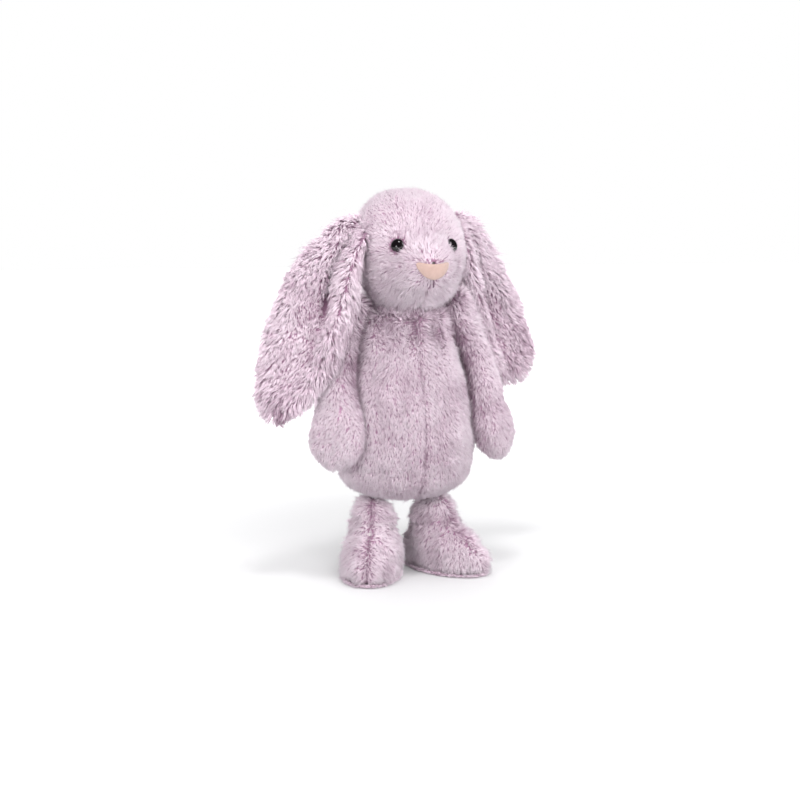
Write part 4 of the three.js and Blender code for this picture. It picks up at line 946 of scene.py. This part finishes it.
Dh = np.stack([np.sin(th)[:, None] * np.cos(ph)[None, :], np.sin(th)[:, None] * np.sin(ph)[None, :], -np.cos(th)[:, None] * np.ones((1, 72))], -1)
P = head_point(Dh, 9.2); P = P + Dh * (0.9 * noise(P, 12, 34) - 0.7)[..., None]
V, T, U = sphere_mesh(P); ob = new_object("stuffing_head", V, T, U, [FIBRE]); declare(ob, "head", "head_filling")
P = NECK_C + np.array([0, -1.0, 3.0]) + Dh * 16.0 * np.array([1.6, 1.25, 0.9]); P = P + Dh * (0.5 * noise(P, 12, 35))[..., None]
# the neck ball's fur is darker all over: painted shade under the chin
furry("neck_ball", "neck_filling", "neck", P, Dh, down + Dh * 0.1, 111, wrap=True, thick=2.5, slot="polyester_filling", L=6.5, lean=60, tint=-0.34, dens=1.8, K=5, pinch=0.25, width=0.28, fill=0.8)
for side in ("right", "left"):
    inset = 7.9
    length = np.linalg.norm(np.diff(along(ARM, np.linspace(0, 1, 41))[:, :3], axis=0), axis=1).sum()
    s0 = rows(40, 0.01, 0.99); s = (inset + (length - 2 * inset) * s0) / length
    p, t, nn, w = spine(ARM, ARM_FACE, s); row = along(ARM, s); k = capped(s0, 0.10, 0.19)
    pa = np.linspace(0, 2 * PI, 36, endpoint=False)
    P = p[:, None] + (((row[:, 3] - inset) * k)[:, None] * np.cos(pa)[None, :])[..., None] * w[:, None] + (((row[:, 4] - inset) * k)[:, None] * np.sin(pa)[None, :])[..., None] * nn[:, None]
    P = P + unit(P - p[:, None]) * (0.6 * noise(P, 10, 36) - 0.5)[..., None]
    if side == "left":
        P = P * np.array([-1, 1, 1])
    V, T, U = sphere_mesh(P); ob = new_object(f"stuffing_arm_{side}", V, T, U, [FIBRE]); declare(ob, "arm_" + side, f"arm_filling_{side}")

# ------------------------------------------------------------------ eyes, washers, nose, stitch
def turned_on(p, n, prof, seg):
    """profile in (radius, height) turned about n at p"""
    ref = np.array([0, 0, 1.0]); e1 = unit(np.cross(ref, n)); e2 = np.cross(n, e1)
    a = np.linspace(0, 2 * PI, seg, endpoint=False)
    prof = np.array(prof, float)
    return p + prof[:, 0][:, None, None] * (np.cos(a)[None, :, None] * e1 + np.sin(a)[None, :, None] * e2) + prof[:, 1][:, None, None] * n


for i, side in enumerate(("right", "left")):
    p, n = face_frame((-1 if i == 0 else 1) * EYE_X, EYE_Z, 3.2)
    dome = [(EYE_R * math.cos(t_), 0.8 + (EYE_DOME - 0.8) * math.sin(t_)) for t_ in np.linspace(0, PI / 2 - 0.04, 22)]
    prof = [(0.05, -7.0), (1.25, -7.0), (1.5, -6.7), (1.5, -0.3), (1.8, 0.0), (EYE_R - 0.5, 0.0), (EYE_R - 0.15, 0.1), (EYE_R, 0.35)] + dome
    V, T, U = sphere_mesh(turned_on(p, n, prof, 56))
    ob = new_object(f"eye_dome_{side}", V, T, U, [EYE]); declare(ob, "head", f"eye_{side}")
    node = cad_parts[f"eye_washer_{side}"]
    for sl in node.material_slots:
        sl.material = WASHER
    if not node.material_slots:
        node.data.materials.append(WASHER)

rr = np.array([0.02, 0.12, 0.24, 0.36, 0.48, 0.6, 0.7, 0.8, 0.88, 0.94, 0.975, 1.0, 1.012, 1.0, 0.96])
rise = np.array([1.25, 1.25, 1.24, 1.22, 1.19, 1.14, 1.07, 0.96, 0.82, 0.66, 0.46, 0.1, -0.5, -1.1, -1.5])
cen = np.array([0, -0.2])
X = cen[0] + rr[:, None] * (outline[:, 0] - cen[0])[None, :]
Z = cen[1] + rr[:, None] * (outline[:, 1] - cen[1])[None, :]
Pn = face_at(X, Z + NOSE_Z, 1.2)
nn_ = np.zeros_like(Pn)
for a_ in range(Pn.shape[0]):
    e = 1.5
    ax = face_at(X[a_] + e, Z[a_] + NOSE_Z, 1.2) - face_at(X[a_] - e, Z[a_] + NOSE_Z, 1.2)
    az_ = face_at(X[a_], Z[a_] + e + NOSE_Z, 1.2) - face_at(X[a_], Z[a_] - e + NOSE_Z, 1.2)
    v = unit(np.cross(ax, az_)); v[v[:, 1] > 0] *= -1; nn_[a_] = v
Pn = Pn + nn_ * (rise[:, None] * 1.15)[..., None] + nn_ * (0.06 * noise(Pn, 2.2, 41) + 0.12 * noise(Pn, 9, 42))[..., None]
V, T, U = sphere_mesh(Pn)
ob = new_object("nose_suede_patch", V, T, U, [SUEDE]); declare(ob, "head", "nose_patch")

# mouth: two short stitches of twisted thread
V_all, T_all, U_all, base = [], [], [], 0
for (x0, z0), (x1, z1) in (((0.3, NOSE_Z - NOSE_DOWN - 0.3), (1.3, NOSE_Z - NOSE_DOWN - 3.4)), ((1.3, NOSE_Z - NOSE_DOWN - 3.2), (2.2, NOSE_Z - NOSE_DOWN - 5.6))):
    k = np.linspace(0, 1, 16)
    pts = face_at(x0 + (x1 - x0) * k, z0 + (z1 - z0) * k, 0.9)
    pts[:, 1] += 0.9 * (2 * k - 1) ** 6
    tt = unit(np.gradient(pts, axis=0)); e1 = unit(np.cross(tt, np.array([0, -1.0, 0]))); e2 = np.cross(tt, e1)
    a = np.linspace(0, 2 * PI, 10, endpoint=False)
    rad = 0.5 * (1 + 0.16 * np.cos(3 * a[None, :] + k[:, None] * 26))
    G = pts[:, None] + rad[..., None] * (np.cos(a)[None, :, None] * e1[:, None] + np.sin(a)[None, :, None] * e2[:, None])
    V, T, U = sphere_mesh(G)
    V_all.append(V); T_all.append(T + base); U_all.append(U); base += len(V)
ob = new_object("mouth_thread", np.concatenate(V_all), np.concatenate(T_all), np.concatenate(U_all), [THREAD]); declare(ob, "head", "mouth_stitch")

# ------------------------------------------------------------------ floor, light
fm, nt, b = material("studio_floor")
b.inputs["Roughness"].default_value = 0.9; b.inputs["Specular IOR Level"].default_value = 0.1
# painted shade: the floor is darker round the middle, where the toy stands, and grows paler further out
tcf = nt.nodes.new("ShaderNodeTexCoord"); ln = nt.nodes.new("ShaderNodeVectorMath"); ln.operation = "LENGTH"; nt.links.new(tcf.outputs["Object"], ln.inputs[0])
rf = nt.nodes.new("ShaderNodeMapRange"); rf.interpolation_type = "SMOOTHSTEP"; rf.inputs["From Min"].default_value = 0.16; rf.inputs["From Max"].default_value = 1.0
rf.inputs["To Min"].default_value = 0.0; rf.inputs["To Max"].default_value = 1.0; nt.links.new(ln.outputs["Value"], rf.inputs["Value"])
crf = ramp(nt, [(0.0, (211, 211, 212)), (1.0, (250, 250, 250))]); nt.links.new(rf.outputs[0], crf.inputs["Fac"]); nt.links.new(crf.outputs["Color"], b.inputs["Base Color"])
# painted light: the floor also glows, the more the further from the middle
b.inputs["Emission Color"].default_value = (1, 1, 1, 1); ef = nt.nodes.new("ShaderNodeMath"); ef.operation = "MULTIPLY"; ef.inputs[1].default_value = 0.35
nt.links.new(rf.outputs[0], ef.inputs[0]); nt.links.new(ef.outputs[0], b.inputs["Emission Strength"])
me = bpy.data.meshes.new("floor"); F = 9.0
me.from_pydata([(-F, -F, 0), (F, -F, 0), (F, F, 0), (-F, F, 0)], [], [(0, 1, 2, 3)]); me.materials.append(fm)
floor = bpy.data.objects.new("floor", me); bpy.context.scene.collection.objects.link(floor)
floor.location.z = cad_box[0].z - 0.0002

world = bpy.data.worlds.new("studio"); bpy.context.scene.world = world; world.use_nodes = True
wt = world.node_tree; bg = wt.nodes["Background"]
bg.inputs[0].default_value = (1, 1, 1, 1)
# an even white surround, dimmer as a reflection, so that the glossy eyes mirror the lamps and not the room
lp = wt.nodes.new("ShaderNodeLightPath"); mrg = wt.nodes.new("ShaderNodeMapRange")
mrg.inputs["To Min"].default_value = 1.0; mrg.inputs["To Max"].default_value = 0.10
wt.links.new(lp.outputs["Is Glossy Ray"], mrg.inputs["Value"]); wt.links.new(mrg.outputs[0], bg.inputs[1])


def area(name, loc, at, size, power, spread=180):
    l = bpy.data.lights.new(name, "AREA"); l.shape = "SQUARE"; l.size = size; l.energy = power; l.spread = math.radians(spread)
    o = bpy.data.objects.new(name, l); bpy.context.scene.collection.objects.link(o)
    o.location = Vector(loc); o.rotation_euler = (Vector(at) - Vector(loc)).to_track_quat("-Z", "Y").to_euler()
    return o


area("overhead", (-0.17, -0.50, 1.50), (0, 0, 0.20), 0.26, 6.6)
area("front_left", (-1.05, -0.86, 0.50), (0, 0, 0.20), 0.22, 5.2)
sun = bpy.data.lights.new("soft_key", "SUN"); sun.energy = 1.55; sun.angle = math.radians(35)
so = bpy.data.objects.new("soft_key", sun); bpy.context.scene.collection.objects.link(so)
so.rotation_euler = (Vector((0, 0, 0)) - Vector((-0.12, -1.0, 0.62))).to_track_quat("-Z", "Y").to_euler()

so.visible_glossy = False
fill = area("front_right", (0.75, -1.25, 0.28), (0, 0, 0.08), 0.7, 7.6)
fill.visible_glossy = False
back = area("behind", (0.35, 1.30, 0.75), (0, 0, 0.15), 0.8, 5.0)
back.visible_glossy = False

sc = bpy.context.scene
sc.view_settings.view_transform = "Standard"
sc.view_settings.look = "None"
sc.view_settings.exposure = 0.0
sc.view_settings.gamma = 1.0
